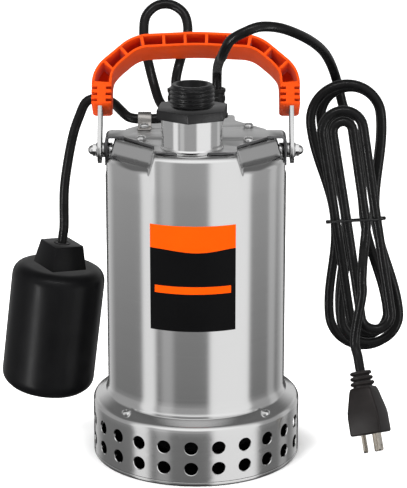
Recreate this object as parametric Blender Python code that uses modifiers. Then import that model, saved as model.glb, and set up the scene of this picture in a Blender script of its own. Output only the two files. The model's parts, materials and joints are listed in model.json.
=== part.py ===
"""A submersible sump pump: steel drum, perforated base, threaded outlet, carrying handle, float switch
and a mains lead tied in a hank. Metres, +Z up, the pump's axis on Z and its front towards -Y."""

import math

import bmesh
import bpy
from mathutils import Matrix, Vector

MM = 0.001

# Clearances
GAP = 0.3 * MM
HOLE_CLEARANCE = 0.3 * MM
RUNNING_GAP = 0.6 * MM

# Facets round a turned piece
LARGE_FACET_COUNT = 48
MEDIUM_FACET_COUNT = 28
INNER_FACET_COUNT = 22
SMALL_FACET_COUNT = 16
SCREW_FACET_COUNT = 12

# Strainer base
BASE_WALL = 1.4 * MM
BASE_CORNER = 5.0 * MM
BASE_PLATE_THICKNESS = 3.2 * MM
LEDGE_TOP = 47.0 * MM
LEDGE_LIP = 6.5 * MM
INLET_COLUMNS = 24
INLET_RADIUS = 4.9 * MM
INLET_ROWS = (13.9 * MM, 30.2 * MM)
INLET_TURN = math.radians(-2.5)
BASE_SCREW_INSET = 5.7 * MM
BASE_SCREW_CLEARANCE = 0.5 * MM
BASE_SCREW_COUNT = 4

# Drum
DRUM_RADIUS = 67.5 * MM
DRUM_WALL = 1.6 * MM
DRUM_FOOT_FLARE = 1.8 * MM
DRUM_FOOT_HEIGHT = 6.0 * MM
DRUM_LOW_TOP = 237.0 * MM
PLATEAU_RISE = 11.0 * MM
DRUM_LOW_CORNER = 5.0 * MM
DRUM_HIGH_CORNER = 7.0 * MM
PLATEAU_INSET = 0.15 * MM
LOBE_HALF_WIDTH = 31.0 * MM
LOBE_START = 42.0 * MM
WAIST_HALF_WIDTH = 54.0 * MM
WAIST_HALF_DEPTH = 14.0 * MM
PLATEAU_FILLET = 4.0 * MM
EAR_NOTCH_INSIDE = 9.3 * MM
EAR_NOTCH_MARGIN = 2.5 * MM
EAR_NOTCH_BELOW = 3.0 * MM

# Handle bracket
PLATE_THICKNESS = 2.0 * MM
PLATE_INSET = 1.2 * MM
EAR_HALF_DEPTH = 10.0 * MM
EAR_REACH = 67.3 * MM
EAR_BEND = 4.0 * MM
EAR_BELOW_PIVOT = 9.4 * MM
PIVOT_DROP = 12.9 * MM

# Outlet
OUTLET_X = -2.5 * MM
OUTLET_Y = -40.5 * MM
NECK_RADIUS = 22.4 * MM
NECK_WALL = 1.8 * MM
NECK_HEIGHT = 21.7 * MM
HEX_CORNER_RADIUS = 28.0 * MM
HEX_HEIGHT = 7.0 * MM
HEX_TURN = math.radians(-5.7)
THREAD_RADIUS = 16.7 * MM
THREAD_DEPTH = 1.3 * MM
THREAD_PITCH = 3.2 * MM
THREAD_RIDGES = 5
OUTLET_BORE = 10.8 * MM
SPIGOT_LENGTH = 8.0 * MM

# Cords
CORD_RADIUS = 3.7 * MM
GLAND_X = (-15.3 * MM, 16.0 * MM)
GLAND_Y = 52.0 * MM
GLAND_HEIGHT = 22.7 * MM
GLAND_RADIUS = 6.5 * MM
GLAND_FLANGE_RADIUS = 8.6 * MM
GLAND_FLANGE_HEIGHT = 3.0 * MM

# Handle
HANDLE_LEAN = math.radians(33.0)
GRIP_SECTION = 11.0 * MM
GRIP_DEPTH = 28.0 * MM
GRIP_OUTSET = 4.0 * MM
GRIP_LEG_END = 28.0 * MM
GRIP_SHOULDER = 57.0 * MM
GRIP_BAR_HALF = 46.0 * MM
GRIP_BAR_LOW = 81.5 * MM
GRIP_BAR_HIGH = 83.7 * MM
GRIP_FILLET = 17.0 * MM
GRIP_WALL = 2.0 * MM
GRIP_RIB = 2.2 * MM
GRIP_POCKET_DEPTH = 19.0 * MM
GRIP_POCKET_COUNT = 11
GRIP_SOLID_LEG = 17.0 * MM
NOTCH_DEPTH = 3.2 * MM
NOTCH_HEIGHT = 2.2 * MM
NOTCH_STEP = 4.2 * MM
LINK_STANDOFF = 2.7 * MM
LINK_THICKNESS = 3.0 * MM
LINK_HALF_WIDTH = 10.0 * MM
LINK_TOP = 40.0 * MM
PIVOT_RADIUS = 2.9 * MM
PIVOT_HEAD_RADIUS = 5.6 * MM
PIVOT_HEAD = 3.0 * MM
NUT_LENGTH = 7.0 * MM
NUT_RADIUS = 5.6 * MM

# Float
FLOAT_TOP_CENTRE = Vector((-106.2, 41.0, 135.0)) * MM
FLOAT_TILT = math.radians(7.0)
FLOAT_RADIUS = 36.2 * MM
FLOAT_HEIGHT = 102.0 * MM
FLOAT_WALL = 2.6 * MM
FLOAT_TOP_CORNER = 6.0 * MM
FLOAT_BOTTOM_CORNER = 15.0 * MM
FLOAT_NECK_RADIUS = 14.5 * MM
BOSS_HEIGHT = 18.0 * MM
BOSS_BASE = 15.5 * MM
BOSS_TIP = 12.5 * MM
CAPSULE_RADIUS = 11.0 * MM
CAPSULE_LENGTH = 52.0 * MM
CAPSULE_BORE = 8.0 * MM
CAPSULE_MOUTH = 5.5 * MM
BALL_RADIUS = 7.2 * MM

# Hank of the mains lead
HANK_CENTRE = Vector((124.0, 22.0, 176.8)) * MM
HANK_TILT = math.radians(8.0)
HANK_TURNS = 5
HANK_CLIMBS = (1.5, 2.5, 3.5)
HANK_LAYERS = len(HANK_CLIMBS) + 1
HANK_STEP = 7.95 * MM
HANK_PITCH = 8.35 * MM
HANK_INNER = 16.3 * MM
HANK_RUN = 78.8 * MM
HANK_FRONT_INNER = 5.3 * MM
HANK_FRONT_RUN = 73.8 * MM
HANK_WAIST = 5.0 * MM
HANK_POINTS_PER_TURN = 24
HANK_END_SHARE = 1.8
HANK_CLIMB_SPAN = 0.25
HANK_LEAD = 46.0 * MM
TIE_HEIGHT = 3.0 * MM
TIE_THICKNESS = 1.2 * MM

# Plug
PLUG_PLACE = Vector((126.0, -5.0, 63.8)) * MM
PLUG_TILT = math.radians(9.0)
PLUG_LEAN = math.radians(24.0)
PLUG_TURN = math.radians(-28.0)
PLUG_BODY_TOP = -12.0 * MM
PLUG_FACE = -48.5 * MM
PLUG_WIDTH = 29.0 * MM
PLUG_DEPTH = 23.0 * MM
PLUG_RELIEF_RADIUS = 7.6 * MM
BLADE_SPACING = 12.7 * MM
BLADE_LENGTH = 13.4 * MM
BLADE_WIDTH = 6.3 * MM
BLADE_THICKNESS = 1.5 * MM
GROUND_PIN_RADIUS = 2.4 * MM
GROUND_PIN_OFFSET = 8.0 * MM

# Motor and pump inside the drum
CAN_INSET = 9.5 * MM
CAN_WALL = 1.4 * MM
CAN_HEADROOM = 17.0 * MM
CAN_CORNER = 3.0 * MM
SEAL_PLATE_HEIGHT = 15.0 * MM
SEAL_FLANGE_HEIGHT = 6.0 * MM
WATER_PORT_COUNT = 6
SHAFT_RADIUS = 6.0 * MM
STATOR_RAISE = 26.0 * MM
STATOR_HEADROOM = 28.0 * MM
ROTOR_RADIUS = 27.5 * MM
WINDING_HEIGHT = 17.0 * MM
WINDING_CORNER = 4.0 * MM
WINDING_INSET = 4.5 * MM
BEARING_RADIUS = 16.0 * MM
BEARING_HEIGHT = 9.0 * MM
UPPER_BEARING_DROP = 26.0 * MM
BEARING_HUB_WALL = 4.0 * MM
END_BELL_THICKNESS = 5.0 * MM
CAPACITOR_RADIUS = 11.0 * MM
CAPACITOR_LENGTH = 38.0 * MM
SEAL_RADIUS = 12.0 * MM
SEAL_TIP_RADIUS = 10.0 * MM
SEAL_RIM = 4.0 * MM
SHAFT_BELOW_IMPELLER = 6.0 * MM
SHAFT_ABOVE_BEARING = 2.0 * MM
IMPELLER_NUT_RADIUS = 10.0 * MM
IMPELLER_NUT_HEIGHT = 5.0 * MM
IMPELLER_RADIUS = 47.0 * MM
IMPELLER_BOTTOM = 21.0 * MM
IMPELLER_HEIGHT = 15.0 * MM
VANE_COUNT = 6
CHAMBER_RADIUS = 52.0 * MM
CHAMBER_WALL = 2.5 * MM
CHAMBER_FLOOR = 16.5 * MM
SUCTION_RADIUS = 17.0 * MM

# Small fasteners
SCREW_HEAD_RADIUS = 3.5 * MM
SCREW_HEAD_HEIGHT = 2.2 * MM
SCREW_SHANK_RADIUS = 1.9 * MM
BRACKET_SCREW_PLACES = {
    "bracket_screw_front_left": (-40.0 * MM, -22.0 * MM),
    "bracket_screw_front_right": (38.5 * MM, -26.0 * MM),
    "bracket_screw_rear_right": (39.5 * MM, 19.0 * MM),
}
CLIP_CENTRE = Vector((-38.5, 22.0, 0.0)) * MM
CLIP_WIDTH = 10.0 * MM
CLIP_THICKNESS = 1.2 * MM
CLIP_SCREW_OFFSET = 10.0 * MM
CLIP_CLEARANCE = 0.5 * MM

# Heights and reaches that follow from the sizes above
BASE_SCREW_CIRCLE = DRUM_RADIUS + DRUM_FOOT_FLARE + BASE_SCREW_CLEARANCE + SCREW_HEAD_RADIUS
BASE_RADIUS = BASE_SCREW_CIRCLE + BASE_SCREW_INSET
LEDGE_BORE = DRUM_RADIUS - LEDGE_LIP
CAN_RADIUS = DRUM_RADIUS - CAN_INSET
EAR_NOTCH_FROM = EAR_REACH - EAR_NOTCH_INSIDE
LINK_INNER = EAR_REACH + LINK_STANDOFF
GRIP_HALF_WIDTH = LINK_INNER + GRIP_OUTSET
LEDGE_UNDERSIDE = LEDGE_TOP - BASE_WALL
DRUM_FOOT = LEDGE_TOP + GAP
DRUM_HIGH_TOP = DRUM_LOW_TOP + PLATEAU_RISE
PLATE_BOTTOM = DRUM_HIGH_TOP + GAP
PLATE_TOP = PLATE_BOTTOM + PLATE_THICKNESS
PIVOT_HEIGHT = PLATE_TOP - PIVOT_DROP
EAR_BOTTOM = PIVOT_HEIGHT - EAR_BELOW_PIVOT
NECK_TOP = PLATE_TOP + NECK_HEIGHT
GLAND_TOP = PLATE_TOP + GLAND_HEIGHT
CAN_TOP = DRUM_LOW_TOP - CAN_HEADROOM
SEAL_PLATE_TOP = LEDGE_TOP + SEAL_PLATE_HEIGHT
UPPER_BEARING_BOTTOM = CAN_TOP - UPPER_BEARING_DROP
STATOR_TOP = UPPER_BEARING_BOTTOM - STATOR_HEADROOM
STATOR_BOTTOM = SEAL_PLATE_TOP + STATOR_RAISE
CLIP_CENTRE.z = PLATE_TOP + GAP + CLIP_THICKNESS + CLIP_CLEARANCE + CORD_RADIUS

# Free stretches of the cords: hand-chosen points that a smooth curve runs through
FLOAT_LEAD_ROUTE = [Vector(point) * MM for point in (
    (-15.3, 52.0, 280.0), (-13.4, 54.5, 289.0), (-10.8, 62.5, 297.0), (-7.6, 70.0, 306.5),
    (-6.4, 75.0, 316.0), (-9.6, 79.5, 326.0), (-19.0, 82.5, 332.0), (-30.0, 82.0, 331.5),
    (-38.5, 78.5, 324.0), (-40.2, 73.5, 312.0), (-38.6, 69.0, 299.0), (-35.6, 64.0, 286.0),
    (-32.2, 57.5, 274.5), (-28.6, 49.0, 265.0), (-24.6, 42.0, 260.0), (-21.8, 35.0, 257.3),
    (-22.8, 28.2, 256.2), (-27.2, 23.4, 256.0))]
FLOAT_LEAD_AFTER_CLIP = [Vector(point) * MM for point in (
    (-51.0, 24.2, 257.0), (-56.8, 32.0, 260.2), (-62.5, 42.5, 263.2))]
FLOAT_PIVOT = Vector((-81.0, 50.0, 264.7)) * MM
FLOAT_DROP_ROUTE = [Vector(point) * MM for point in (
    (-85.2, 49.6, 261.2), (-88.8, 48.6, 253.2), (-93.6, 47.0, 240.0), (-98.0, 45.0, 220.0),
    (-101.6, 43.0, 195.0))]
POWER_ARCH_ROUTE = [Vector(point) * MM for point in (
    (16.0, 52.0, 283.0), (16.4, 46.5, 292.0), (17.0, 34.0, 298.5), (17.8, 17.0, 301.5),
    (18.7, 0.0, 304.5), (19.8, -14.5, 308.8), (22.0, -26.0, 316.5), (26.6, -33.0, 325.5),
    (35.0, -35.5, 332.5),
    (46.0, -33.0, 336.0), (60.0, -26.0, 334.0), (74.0, -13.0, 327.0), (86.5, 4.0, 317.4),
    (95.8, 21.5, 306.4), (102.4, 36.0, 293.4), (107.6, 43.4, 278.0), (113.4, 43.6, 257.0))]


def clear_scene():
    for item in list(bpy.data.objects):
        bpy.data.objects.remove(item, do_unlink=True)


def make_collection(name):
    collection = bpy.data.collections.new(name)
    bpy.context.scene.collection.children.link(collection)
    return collection


clear_scene()
PARTS = make_collection("submersible_sump_pump")
CUTTERS = make_collection("cutters")


def make_material(name, colour, roughness, metallic=0.0):
    material = bpy.data.materials.new(name)
    material.use_nodes = True
    shader = material.node_tree.nodes["Principled BSDF"]
    shader.inputs["Base Color"].default_value = (*colour, 1.0)
    shader.inputs["Roughness"].default_value = roughness
    shader.inputs["Metallic"].default_value = metallic
    material.diffuse_color = (*colour, 1.0)
    return material


STEEL = make_material("satin_steel", (0.62, 0.62, 0.61), 0.28, 1.0)
GREY_STEEL = make_material("grey_sheet_steel", (0.42, 0.42, 0.42), 0.42, 1.0)
BRIGHT_STEEL = make_material("bright_steel", (0.72, 0.72, 0.72), 0.18, 1.0)
BLACK_PLASTIC = make_material("black_plastic", (0.03, 0.03, 0.032), 0.45)
BLACK_RUBBER = make_material("black_rubber", (0.015, 0.015, 0.016), 0.38)
ORANGE_PLASTIC = make_material("orange_plastic", (0.87, 0.17, 0.025), 0.42)
COPPER = make_material("copper", (0.72, 0.32, 0.16), 0.4, 1.0)
LAMINATION = make_material("lamination_steel", (0.3, 0.3, 0.31), 0.5, 1.0)
CAST_GREY = make_material("cast_grey", (0.33, 0.34, 0.35), 0.55, 0.6)
WHITE_PLASTIC = make_material("white_plastic", (0.75, 0.74, 0.7), 0.5)
NICKEL = make_material("nickel", (0.62, 0.57, 0.5), 0.25, 1.0)


def shade_round(mesh, angle=32.0):
    mesh.shade_smooth()
    mesh.set_sharp_from_angle(angle=math.radians(angle))


def add_part(item, material, parent=None):
    PARTS.objects.link(item)
    item.data.materials.clear()
    item.data.materials.append(material)
    if parent is not None:
        item.parent = parent
    return item


def add_cutter(item):
    CUTTERS.objects.link(item)
    item.hide_render = True
    item.display_type = "WIRE"
    return item


def boolean(item, cutter, operation="DIFFERENCE"):
    modifier = item.modifiers.new(operation.lower(), "BOOLEAN")
    modifier.operation = operation
    modifier.object = cutter
    modifier.solver = "EXACT"
    return modifier


def object_from_bmesh(name, shape):
    mesh = bpy.data.meshes.new(name)
    shape.to_mesh(mesh)
    shape.free()
    shade_round(mesh)
    return bpy.data.objects.new(name, mesh)


def turned(name, profile, steps=48, closed=True):
    """A profile of (radius, height) points, down its outer side, turned round Z by a Screw modifier."""
    mesh = bpy.data.meshes.new(name)
    points = [(radius, 0.0, height) for radius, height in profile]
    edges = [(index, index + 1) for index in range(len(points) - 1)]
    if closed:
        edges.append((len(points) - 1, 0))
    mesh.from_pydata(points, edges, [])
    item = bpy.data.objects.new(name, mesh)
    screw = item.modifiers.new("turn", "SCREW")
    screw.steps = steps
    screw.render_steps = steps
    screw.use_merge_vertices = True
    screw.merge_threshold = 0.00001
    screw.use_smooth_shade = True
    return item


def solid_of_revolution(name, profile, steps=48):
    """A turned body whose profile starts and ends on the axis."""
    return turned(name, profile, steps, closed=False)


def corner_arc(centre, radius, start, end, count=5):
    """Points of an arc in a profile or outline, angles in degrees."""
    angles = [math.radians(start + (end - start) * index / count) for index in range(count + 1)]
    return [(centre[0] + radius * math.cos(a), centre[1] + radius * math.sin(a)) for a in angles]


def circle(radius, count):
    """An outline of even points round the origin."""
    return corner_arc((0.0, 0.0), radius, 0, 360 * (count - 1) / count, count - 1)


def cylinder(name, radius, bottom, top, segments=24, place=(0.0, 0.0)):
    shape = bmesh.new()
    height = top - bottom
    bmesh.ops.create_cone(shape, cap_ends=True, segments=segments, radius1=radius, radius2=radius,
                          depth=height, matrix=Matrix.Translation((place[0], place[1], bottom + height / 2)))
    return object_from_bmesh(name, shape)


def box(name, low, high):
    shape = bmesh.new()
    low, high = Vector(low), Vector(high)
    size = high - low
    bmesh.ops.create_cube(shape, size=1.0, matrix=Matrix.Translation((low + high) / 2) @ Matrix.Diagonal(
        (size.x, size.y, size.z, 1.0)))
    return object_from_bmesh(name, shape)


def mesh_from_curve(item):
    """The evaluated curve as a closed mesh object in the same place."""
    bpy.context.scene.collection.objects.link(item)
    bpy.context.view_layer.update()
    evaluated = item.evaluated_get(bpy.context.evaluated_depsgraph_get())
    mesh = bpy.data.meshes.new_from_object(evaluated)
    place = item.matrix_world.copy()
    name = item.name
    bpy.data.objects.remove(item, do_unlink=True)
    shape = bmesh.new()
    shape.from_mesh(mesh)
    bmesh.ops.remove_doubles(shape, verts=shape.verts, dist=0.000001)
    bmesh.ops.recalc_face_normals(shape, faces=shape.faces)
    shape.to_mesh(mesh)
    shape.free()
    shade_round(mesh)
    solid = bpy.data.objects.new(name, mesh)
    solid.matrix_world = place
    return solid


def prism(name, outlines, bottom, top):
    """Flat outlines of (x, y) points, filled and raised from bottom to top. Later outlines are holes."""
    curve = bpy.data.curves.new(name, "CURVE")
    curve.dimensions = "2D"
    curve.fill_mode = "BOTH"
    curve.extrude = (top - bottom) / 2
    for outline in outlines:
        spline = curve.splines.new("POLY")
        spline.points.add(len(outline) - 1)
        for point, (x, y) in zip(spline.points, outline):
            point.co = (x, y, 0.0, 1.0)
        spline.use_cyclic_u = True
    item = bpy.data.objects.new(name, curve)
    item.location.z = (top + bottom) / 2
    solid = mesh_from_curve(item)
    solid.data.transform(solid.matrix_world)
    solid.matrix_world = Matrix.Identity(4)
    return solid


def rounded(corners, fillet, count=4):
    """An outline with each corner replaced by an arc of the given radius."""
    outline = []
    total = len(corners)
    for index in range(total):
        before, here, after = (Vector(corners[(index + shift) % total]) for shift in (-1, 0, 1))
        incoming = (before - here).normalized()
        outgoing = (after - here).normalized()
        half = incoming.angle(outgoing) / 2
        reach = min(fillet / math.tan(half), (before - here).length * 0.49, (after - here).length * 0.49)
        radius = reach * math.tan(half)
        centre = here + (incoming + outgoing).normalized() * (radius / math.sin(half))
        start = here + incoming * reach - centre
        turn = start.angle_signed(here + outgoing * reach - centre)
        for step in range(count + 1):
            angle = -turn * step / count
            outline.append(tuple(centre + Matrix.Rotation(angle, 2) @ start))
    return outline


def smooth_curve(points, spacing):
    """Even points along a smooth curve that runs through the given ones."""
    padded = [points[0] * 2 - points[1], *points, points[-1] * 2 - points[-2]]
    dense = []
    for index in range(1, len(padded) - 2):
        a, b, c, d = padded[index - 1:index + 3]
        for step in range(20):
            t = step / 20
            dense.append(0.5 * ((2 * b) + (c - a) * t + (2 * a - 5 * b + 4 * c - d) * t * t
                                + (3 * b - a - 3 * c + d) * t ** 3))
    dense.append(points[-1])
    return resample(dense, spacing)


def resample(dense, spacing):
    lengths = [0.0]
    for before, after in zip(dense, dense[1:]):
        lengths.append(lengths[-1] + (after - before).length)
    count = max(2, round(lengths[-1] / spacing))
    even, index = [], 0
    for step in range(count + 1):
        target = lengths[-1] * step / count
        while index < len(dense) - 2 and lengths[index + 1] < target:
            index += 1
        span = lengths[index + 1] - lengths[index]
        share = (target - lengths[index]) / span if span else 0.0
        even.append(dense[index].lerp(dense[index + 1], min(1.0, share)))
    return even


def tube(name, points, radius, resolution=2):
    curve = bpy.data.curves.new(name, "CURVE")
    curve.dimensions = "3D"
    curve.bevel_depth = radius
    curve.bevel_resolution = resolution
    curve.use_fill_caps = True
    spline = curve.splines.new("POLY")
    spline.points.add(len(points) - 1)
    for point, place in zip(spline.points, points):
        point.co = (*place, 1.0)
    return mesh_from_curve(bpy.data.objects.new(name, curve))


def path_length(points):
    return sum((after - before).length for before, after in zip(points, points[1:]))


# Strainer base

def inlet_cutter():
    shape = bmesh.new()
    for row in INLET_ROWS:
        for column in range(INLET_COLUMNS):
            angle = -math.pi / 2 + INLET_TURN + 2 * math.pi * column / INLET_COLUMNS
            spin = Matrix.Rotation(angle, 4, "Z")
            lay = Matrix.Translation((BASE_RADIUS, 0.0, row)) @ Matrix.Rotation(math.pi / 2, 4, "Y")
            bmesh.ops.create_cone(shape, cap_ends=True, segments=8, radius1=INLET_RADIUS,
                                  radius2=INLET_RADIUS, depth=12 * MM, matrix=spin @ lay)
    return add_cutter(object_from_bmesh("inlet_holes", shape))


def base_screw_places():
    angles = [math.pi / 4 + 2 * math.pi * index / BASE_SCREW_COUNT for index in range(BASE_SCREW_COUNT)]
    return [(BASE_SCREW_CIRCLE * math.cos(a), BASE_SCREW_CIRCLE * math.sin(a)) for a in angles]


def screw_holes(name, places, radius, bottom, top):
    shape = bmesh.new()
    middle = (bottom + top) / 2
    for x, y in places:
        bmesh.ops.create_cone(shape, cap_ends=True, segments=SCREW_FACET_COUNT, radius1=radius,
                              radius2=radius, depth=top - bottom, matrix=Matrix.Translation((x, y, middle)))
    return add_cutter(object_from_bmesh(name, shape))


def build_base():
    edge = 1.2 * MM
    plate = solid_of_revolution("base_plate", [
        (0.0, BASE_PLATE_THICKNESS), (BASE_RADIUS, BASE_PLATE_THICKNESS), (BASE_RADIUS, edge),
        (BASE_RADIUS - edge, 0.0),
        (0.0, 0.0)], LARGE_FACET_COUNT)
    add_part(plate, STEEL)
    bottom = BASE_PLATE_THICKNESS + GAP
    bend = BASE_RADIUS - BASE_CORNER
    outer = corner_arc((bend, LEDGE_TOP - BASE_CORNER), BASE_CORNER, 90, 0, 3)
    inner = corner_arc((bend, LEDGE_TOP - BASE_CORNER), BASE_CORNER - BASE_WALL, 0, 90, 2)
    strainer = turned("strainer", [(LEDGE_BORE, LEDGE_TOP), *outer, (BASE_RADIUS, bottom),
                                   (BASE_RADIUS - BASE_WALL, bottom), *inner,
                                   (LEDGE_BORE, LEDGE_UNDERSIDE)], LARGE_FACET_COUNT)
    add_part(strainer, STEEL)
    strainer.rotation_euler.z = INLET_TURN + math.pi / LARGE_FACET_COUNT
    boolean(strainer, inlet_cutter())
    places = base_screw_places()
    hole = SCREW_SHANK_RADIUS + HOLE_CLEARANCE
    boolean(strainer, screw_holes("base_screw_holes", places, hole, LEDGE_UNDERSIDE - MM, LEDGE_TOP + MM))
    for index, place in enumerate(places, 1):
        add_screw(f"base_screw_{index}", place, LEDGE_TOP, 4.6 * MM)


def add_screw(name, place, seat, length):
    """A pan-head screw standing on a seat height, its shank going down."""
    under = seat + GAP
    head = SCREW_HEAD_RADIUS
    top = under + SCREW_HEAD_HEIGHT
    screw = solid_of_revolution(name, [
        (0.0, top), (head * 0.6, top), (head, under + SCREW_HEAD_HEIGHT * 0.4), (head, under),
        (SCREW_SHANK_RADIUS, under), (SCREW_SHANK_RADIUS, under - length), (0.0, under - length)],
        SCREW_FACET_COUNT)
    screw.location = (place[0], place[1], 0.0)
    return add_part(screw, BRIGHT_STEEL)


# Drum with its pressed top

def plateau_outline(inset, reach):
    """Plan of the raised top: a lobe to the front, one to the back and a waist towards the ears."""
    lobe, start = LOBE_HALF_WIDTH - inset, LOBE_START
    waist, depth = WAIST_HALF_WIDTH - inset, WAIST_HALF_DEPTH - inset
    right = [(lobe, -reach), (lobe, -start), (waist, -depth), (waist, depth), (lobe, start), (lobe, reach)]
    left = [(-x, y) for x, y in reversed(right)]
    return rounded(right + left, PLATEAU_FILLET, 2)


def drum_body(name, inset, foot, corner_steps):
    """The drum's outside, or its inside with the wall as inset, as one solid."""
    radius, low, high = DRUM_RADIUS - inset, DRUM_LOW_TOP - inset, DRUM_HIGH_TOP - inset
    low_corner, high_corner = DRUM_LOW_CORNER - inset, DRUM_HIGH_CORNER - inset
    flare = radius + DRUM_FOOT_FLARE
    body = solid_of_revolution(name, [
        (0.0, low), *corner_arc((radius - low_corner, low - low_corner), low_corner, 90, 0, corner_steps),
        (radius, DRUM_FOOT + DRUM_FOOT_HEIGHT), (flare, foot), (0.0, foot)], LARGE_FACET_COUNT)
    crown_radius = radius - PLATEAU_INSET
    below = low - 2 * DRUM_HIGH_CORNER
    crown = solid_of_revolution(name + "_crown", [
        (0.0, high),
        *corner_arc((crown_radius - high_corner, high - high_corner), high_corner, 90, 0, corner_steps),
        (crown_radius, below), (0.0, below)], LARGE_FACET_COUNT)
    lobes = prism(name + "_lobes", [plateau_outline(inset, DRUM_RADIUS * 1.2)], below + MM, high + 5 * MM)
    boolean(add_cutter(crown), add_cutter(lobes), "INTERSECT")
    boolean(body, crown, "UNION")
    floor = EAR_BOTTOM - EAR_NOTCH_BELOW - inset
    for side in (-1, 1):
        xs = sorted((side * (EAR_NOTCH_FROM - inset), side * DRUM_RADIUS * 1.2))
        depth = EAR_HALF_DEPTH + EAR_NOTCH_MARGIN + inset
        notch = box(f"{name}_notch_{side}", (xs[0], -depth, floor), (xs[1], depth, high + 5 * MM))
        boolean(body, add_cutter(notch))
    return body


def build_drum():
    drum = drum_body("drum", 0.0, DRUM_FOOT, 3)
    add_part(drum, STEEL)
    boolean(drum, add_cutter(drum_body("drum_hollow", DRUM_WALL, DRUM_FOOT - MM, 2)))
    bore = cylinder("outlet_opening", NECK_RADIUS - NECK_WALL - MM, DRUM_LOW_TOP - 9 * MM,
                    DRUM_HIGH_TOP + MM, 32, (OUTLET_X, OUTLET_Y))
    boolean(drum, add_cutter(bore))
    boolean(drum, screw_holes("gland_openings", [(x, GLAND_Y) for x in GLAND_X],
                              GLAND_RADIUS + HOLE_CLEARANCE, DRUM_HIGH_TOP - 4 * MM, PLATE_TOP + MM))


# Handle bracket on the top

def build_bracket():
    outline = plateau_outline(PLATE_INSET, DRUM_RADIUS - DRUM_HIGH_CORNER)
    bracket = prism("handle_bracket", [outline], PLATE_BOTTOM, PLATE_TOP)
    add_part(bracket, GREY_STEEL)
    for side in (-1, 1):
        bend_centre = (EAR_REACH - EAR_BEND, PLATE_TOP - EAR_BEND)
        bend = corner_arc(bend_centre, EAR_BEND, 0, 90, 4)
        inside = corner_arc(bend_centre, EAR_BEND - PLATE_THICKNESS, 90, 0, 4)
        inner_face = EAR_REACH - PLATE_THICKNESS
        root = WAIST_HALF_WIDTH - PLATEAU_FILLET - 4 * MM
        ear_outline = [(EAR_REACH, EAR_BOTTOM), *bend, (root, PLATE_TOP), (root, PLATE_BOTTOM),
                       *inside, (inner_face, EAR_BOTTOM)]
        ear = prism(f"ear_{side}", [[(x * side, z) for x, z in ear_outline]], -EAR_HALF_DEPTH, EAR_HALF_DEPTH)
        ear.data.transform(Matrix.Rotation(math.pi / 2, 4, "X"))
        boolean(bracket, add_cutter(ear), "UNION")
        hole = PIVOT_RADIUS + HOLE_CLEARANCE
        pivot_hole = cylinder(f"pivot_hole_{side}", hole, -6 * MM, 6 * MM, 16)
        pivot_hole.data.transform(Matrix.Translation((side * EAR_REACH, 0.0, PIVOT_HEIGHT))
                                  @ Matrix.Rotation(math.pi / 2, 4, "Y"))
        boolean(bracket, add_cutter(pivot_hole))
    neck_hole = cylinder("neck_hole", NECK_RADIUS + HOLE_CLEARANCE, PLATE_BOTTOM - MM, PLATE_TOP + MM,
                         MEDIUM_FACET_COUNT, (OUTLET_X, OUTLET_Y))
    boolean(bracket, add_cutter(neck_hole))
    boolean(bracket, bpy.data.objects["gland_openings"])
    screw_places = [*BRACKET_SCREW_PLACES.values(), clip_screw_place()]
    boolean(bracket, screw_holes("bracket_screw_holes", screw_places, SCREW_SHANK_RADIUS + HOLE_CLEARANCE,
                                 PLATE_BOTTOM - MM, PLATE_TOP + MM))
    drum_holes = screw_holes("drum_screw_holes", screw_places, SCREW_SHANK_RADIUS + HOLE_CLEARANCE,
                             DRUM_HIGH_TOP - 5 * MM, DRUM_HIGH_TOP + MM)
    boolean(bpy.data.objects["drum"], drum_holes)
    for name, place in BRACKET_SCREW_PLACES.items():
        add_screw(name, place, PLATE_TOP, 5.0 * MM)


def clip_screw_place():
    return (CLIP_CENTRE.x, CLIP_CENTRE.y - CLIP_SCREW_OFFSET)


def build_clip():
    """A strap bent round the float lead, with a foot under one screw."""
    inner = CORD_RADIUS + CLIP_CLEARANCE
    outer = inner + CLIP_THICKNESS
    foot_reach = -(CLIP_SCREW_OFFSET + SCREW_HEAD_RADIUS + MM)
    around = corner_arc((0.0, 0.0), outer, -90, 180, 14)
    back = corner_arc((0.0, 0.0), inner, 180, -90, 14)
    strap = [*around, (-outer, -outer + CLIP_THICKNESS), (foot_reach, -outer + CLIP_THICKNESS),
             (foot_reach, -outer), (-inner - MM, -outer), (-inner, -inner), *back]
    clip = prism("cord_clip", [strap], -CLIP_WIDTH / 2, CLIP_WIDTH / 2)
    clip.data.transform(Matrix.Rotation(math.pi / 2, 4, "Z") @ Matrix.Rotation(math.pi / 2, 4, "X"))
    clip.data.transform(Matrix.Translation(CLIP_CENTRE))
    add_part(clip, BRIGHT_STEEL)
    seat = CLIP_CENTRE.z - outer + CLIP_THICKNESS
    boolean(clip, screw_holes("clip_hole", [clip_screw_place()], SCREW_SHANK_RADIUS + HOLE_CLEARANCE,
                              seat - 3 * MM, seat + MM))
    add_screw("clip_screw", clip_screw_place(), seat, 6.0 * MM)


# Outlet

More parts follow.
